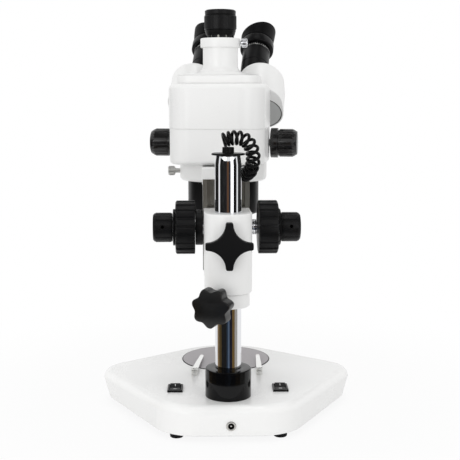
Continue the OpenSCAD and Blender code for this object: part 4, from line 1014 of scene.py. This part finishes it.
fitted("adapter", turned(soft([(0, clamp_low - 4, 0), (13.9, clamp_low - 4, 0),
    (13.9, clamp_high - 0.5, 0), (12.4, clamp_high - 0.5, 0), (12.4, cone_low, 0),
    (14.5, cone_low, 0.3), (16, sleeve_low - 0.3, 0.4), (13, sleeve_low - 0.3, 0),
    (13, sleeve_high + 0.3, 0), (15.7, sleeve_high + 0.3, 0.3), (15.9, sleeve_high + 4.4, 0.8),
    (14.4, sleeve_high + 5.4, 0.5), (13.2, sleeve_high + 5.2, 0.4), (0, sleeve_high + 5.9, 0)], 4),
    at_tube, 144), anodised, "head", "black_anodised", "camera_adapter")
fitted("adapter_bright_ring", pipe(12.3, 12.9, clamp_high - 0.4, cone_low + 0.1, at_tube), milled,
       "head", "black_anodised")
belongs(ring_of("adapter_posts", rib([(12.5, clamp_high - 0.4), (14, clamp_high - 0.4),
    (14, cone_low + 0.1), (12.5, cone_low + 0.1)], 27, 0.2, 4), neck_posts, anodised, at_tube), "head",
    "black_anodised")
fitted("focus_sleeve",
       rounded_ring(13.05, sleeve_reach - 0.4, sleeve_low, sleeve_high, 0.5, at_tube, 144),
       moulded_black, "camera_sleeve", "black_satin", "camera_sleeve")
belongs(ring_of("focus_sleeve_knurl", rib([(sleeve_reach - 0.8, sleeve_low + 0.7),
    (sleeve_reach, sleeve_low + 1.1), (sleeve_reach, sleeve_high - 1.1),
    (sleeve_reach - 0.8, sleeve_high - 0.7)], 3.8, 0.25, 1), sleeve_ribs, moulded_black, at_tube),
    "camera_sleeve", "black_satin")

# A painted housing round each prism turns on the head, so that the eyepieces can be set apart. It is a
# drum on its pivot that blends into a drum round the eyepiece, and a grey disc covers the pivot.
pivot_drum = 23.5
eye_drum = 25
eye_rise = 13.4
prism_long = 42
prism_taper = 0.19
pin_reach = 9.05
recess = 22
cover_grey = surface("cover_grey", srgb(186, 187, 186), 0.4, specular=0.35, grain=500, fleck=0.02)
for s, name in ((1, "left"), (-1, "right")):
    at_prism = frame_at(joint_at("eyes_" + name), head_right, joint_way("eyes_" + name))
    discs = [(0, 0, pivot_drum), (-1.8 * s, eye_rise, eye_drum)]
    body = stacked(discs, soft([(0.5, 0, 0), (0, 0.5, 0), (0, prism_long, 8), (12, prism_long, 0)], 9),
                   Matrix())
    span = pivot_drum + eye_rise + eye_drum
    for v in body.verts:
        v.co.z *= 1 - prism_taper * (eye_rise + eye_drum - v.co.y) / span
    body.transform(at_prism)
    prism = finished("prism_" + name + "_body", body, white_paint)
    carved(prism, pipe(0, recess, -1, 1.62, at_prism), pipe(0, pin_reach, -1, 9, at_prism, 64))
    belongs(even_light(prism), "prism_" + name, "white_paint", "prism_housing_" + name)
    # A dark ring in the recess round the grey disc is painted shade for the gap.
    fitted("cover_gap_shade_" + name, pipe(recess - 1, recess, 0.1, 1.6, at_prism), painted_gap_shade,
           "prism_" + name, "cover_grey")
    fitted("pivot_cover_" + name, turned(soft([(pin_reach, 0, 0), (recess - 1, 0, 0.3),
        (recess - 1, 1.6, 0), (pin_reach, 1.6, 0)], 3), at_prism), cover_grey, "prism_" + name,
        "cover_grey", "prism_cover_" + name)

# Each eyepiece is a black anodised barrel with a silver scale line under its dioptre ring. A winged
# rubber cup on top stands higher on its outer side, to keep side light out.
eye_reach = 15
eye_long = 40
eye_top = prism_long + eye_long
dioptre_high = 11
dioptre_reach = 18.5
scale_ticks = 40
cup_base = eye_top + dioptre_high
cup_bore = 13.02
cup_tall = 23
cup_lean = 13
cup_wall = [(cup_bore, 0, 0), (16.5, 0, 0.8), (17.8, 1.6, 1), (17.8, 5, 0), (18.4, 12, 0),
            (19, cup_tall, 1.2), (16.6, cup_tall, 1.0), (15.8, 9, 2), (14.4, 4.6, 1),
            (cup_bore, 4.2, 0)]
eye_lens_coat = surface("eye_lens_coat", srgb(70, 60, 96), 0.05, specular=0.7, grain=50, fleck=0.02,
                        relief=0.0)
scale_silver = surface("scale_silver", srgb(205, 205, 203), 0.3, metal=0.9, grain=300)
cup_rubber = surface("cup_rubber", srgb(9, 9, 10), 0.5, specular=0.07, grain=700, relief=0.15)
for s, name in ((1, "left"), (-1, "right")):
    at_eye = frame_at(joint_at("dioptre_" + name + "_turn"), head_right, joint_way("eyes_" + name))
    fitted("eyepiece_barrel_" + name, turned(soft([(8, prism_long - 22, 0), (11.5, prism_long - 22, 0),
        (11.5, prism_long - 1, 0), (14, prism_long - 1, 0), (eye_reach, prism_long + 0.6, 0.4),
        (eye_reach, prism_long + 14, 0), (eye_reach - 0.4, prism_long + 14.4, 0),
        (eye_reach - 0.4, prism_long + 15, 0), (eye_reach, prism_long + 15.4, 0),
        (eye_reach, eye_top - 0.4, 0.3), (13, eye_top - 0.4, 0), (13, eye_top + 17, 0.3),
        (10.5, eye_top + 17, 0), (10.5, eye_top + 12, 0), (8, eye_top + 12, 0)], 3), at_eye, 96),
        anodised, "prism_" + name, "black_anodised", "eyepiece_" + name)
    fitted("scale_line_" + name, pipe(14.5, 15.05, eye_top - 4.2, eye_top - 3.7, at_eye), scale_silver,
           "prism_" + name, "black_anodised")
    belongs(ring_of("scale_ticks_" + name, rib([(14.6, eye_top - 3.7), (15.05, eye_top - 3.7),
        (15.05, eye_top - 2), (14.6, eye_top - 2)], 2, 0.02, 1), scale_ticks, scale_silver, at_eye),
        "prism_" + name, "black_anodised")
    fitted("dioptre_" + name + "_grip",
           rounded_ring(13.05, dioptre_reach, eye_top + 0.3, cup_base - 0.3, 1.4, at_eye),
           moulded_black, "dioptre_" + name, "black_satin", "dioptre_ring_" + name)
    slices = []
    for a in around(96):
        fall = cup_lean * (1 - s * math.cos(a)) / 2
        slices.append([at_eye @ polar(r, a, cup_base + z - max(0, fall * (z - 5) / (cup_tall - 5)))
                       for r, z in soft(cup_wall, 4)])
    fitted("winged_cup_" + name, skin(slices, closed=True), cup_rubber, "prism_" + name, "rubber",
           "eyecup_" + name, sharp=50)
faced(eye_lens_coat, "eye_lens_left", "eye_lens_right")

# The instrument stands on a white sweep. Near it the floor takes a soft shadow, further out it is even
# white, as the sky behind it is to the camera and in reflections.
floor_body = bmesh.new()
bmesh.ops.create_grid(floor_body, x_segments=1, y_segments=1, size=4)


def matte(name, tone):
    """A colour without any gloss."""
    made = bpy.data.materials.new(name)
    made.use_nodes = True
    paper = made.node_tree.nodes["Principled BSDF"]
    paper.inputs["Base Color"].default_value = (*tone, 1)
    paper.inputs["Specular IOR Level"].default_value = 0
    return made


def seen_share(nodes, link):
    """One for what the camera and reflections see, nought for the light that falls on things."""
    ray, seen = nodes.new("ShaderNodeLightPath"), nodes.new("ShaderNodeMath")
    seen.operation = "MAXIMUM"
    link(ray.outputs["Is Camera Ray"], seen.inputs[0])
    link(ray.outputs["Is Glossy Ray"], seen.inputs[1])
    return ray, seen


floor_look = matte("floor_white", (0.8, 0.8, 0.8))
nodes, link = floor_look.node_tree.nodes, floor_look.node_tree.links.new
paper = nodes["Principled BSDF"]
paper.inputs["Roughness"].default_value = 1
glow = nodes.new("ShaderNodeEmission")
where, away = nodes.new("ShaderNodeTexCoord"), nodes.new("ShaderNodeVectorMath")
away.operation = "LENGTH"
link(where.outputs["Object"], away.inputs[0])
fade = ranged(nodes, 0.16, 0.45, 0.9, 1)
fade.interpolation_type = "SMOOTHSTEP"
link(away.outputs["Value"], fade.inputs["Value"])
lit = nodes.new("ShaderNodeMath")
lit.operation = "MULTIPLY"
ray, seen = seen_share(nodes, link)
link(seen.outputs["Value"], lit.inputs[0])
link(fade.outputs["Result"], lit.inputs[1])
blend = nodes.new("ShaderNodeMixShader")
link(lit.outputs["Value"], blend.inputs["Fac"])
link(paper.outputs["BSDF"], blend.inputs[1])
link(glow.outputs["Emission"], blend.inputs[2])
link(blend.outputs["Shader"], nodes["Material Output"].inputs["Surface"])
floor = finished("floor", floor_body, floor_look)

# Dark and brown boards stand round the instrument, as in a studio, and show only in reflections: they
# draw the bands down the chromed pillar. A low ring of them does it for the pillar's foot and a higher
# one for its top. Each board is given by its two bearings, to the left below zero, and its tone. A dark
# ceiling keeps the rubber cups and the black knobs deep.
board_rings = {
    (0.19, 0.0, 0.16): [(-106, -84, (0.3, 0.21, 0.12)), (-84, -60, (0.1, 0.07, 0.03)),
                        (-60, -14, (0.02, 0.02, 0.02)), (-14, -2, (0.04, 0.06, 0.09)),
                        (-2, 10, (0.12, 0.17, 0.25)), (10, 33, (0.02, 0.02, 0.03)),
                        (33, 56, (0.2, 0.13, 0.05)), (56, 84, (0.5, 0.48, 0.45))],
    (0.3, 0.16, 0.33): [(-142, -90, (0.02, 0.02, 0.02)), (-74, -19, (0.02, 0.02, 0.02)),
                        (-19, -10, (0.05, 0.04, 0.04)), (-10, 4, (0.17, 0.09, 0.05)),
                        (4, 21, (0.04, 0.04, 0.05)),
                        (44, 74, (0.02, 0.02, 0.02)), (89, 143, (0.03, 0.03, 0.03))],
}


def reflected_only(name, body, ink):
    """A piece of the studio that shows in reflections and nowhere else."""
    made = finished(name, body, ink)
    made.visible_camera = made.visible_diffuse = made.visible_shadow = False
    made.visible_transmission = False


for (away, low, high), boards in board_rings.items():
    for start, end, tone in boards:
        body = bmesh.new()
        edge = []
        for k in range(9):
            a = math.radians(start + (end - start) * k / 8)
            spot = pillar_foot + away * Vector((-math.sin(a), math.cos(a), 0))
            edge.append([body.verts.new(spot + Vector((0, 0, z))) for z in (low, high)])
        for a, b in zip(edge, edge[1:]):
            body.faces.new((a[0], b[0], b[1], a[1]))
        reflected_only("board", body, matte("board_ink", tone))

body = bmesh.new()
bmesh.ops.create_circle(body, cap_ends=True, segments=48, radius=0.6,
                        matrix=Matrix.Translation((0, 0.25, 0.9)))
reflected_only("ceiling", body, matte("ceiling_ink", (0.12, 0.12, 0.12)))

# The sky is plain white to the camera, in reflections and through glass, and a little dimmer in the
# light that it gives.
world = bpy.data.worlds.new("studio")
bpy.context.scene.world = world
world.use_nodes = True
nodes, link = world.node_tree.nodes, world.node_tree.links.new
ray, seen = seen_share(nodes, link)
shown, strength = nodes.new("ShaderNodeMath"), ranged(nodes, 0, 1, 0.82, 1)
shown.operation = "MAXIMUM"
link(seen.outputs["Value"], shown.inputs[0])
link(ray.outputs["Is Transmission Ray"], shown.inputs[1])
link(shown.outputs["Value"], strength.inputs["Value"])
link(strength.outputs["Result"], nodes["Background"].inputs["Strength"])
nodes["Background"].inputs["Color"].default_value = (1, 1, 1, 1)

# Two large soft lamps stand behind the camera, one on each side, and a third hangs above the
# instrument. All three are aimed at its middle.
for name, place, power in (("lamp_left", (0.9, 1.4, 0.4), 5), ("lamp_right", (-0.9, 1.4, 0.4), 2.6),
                           ("lamp_above", (0, 0.2, 3), 11)):
    light = bpy.data.lights.new(name, "AREA")
    light.energy = power
    light.size = 0.8
    holder = bpy.data.objects.new(name, light)
    holder.location = place
    holder.rotation_euler = (Vector((0, 0, 0.2)) - holder.location).to_track_quat("-Z", "Y").to_euler()
    bpy.context.scene.collection.objects.link(holder)

bpy.context.scene.view_settings.view_transform = "Standard"
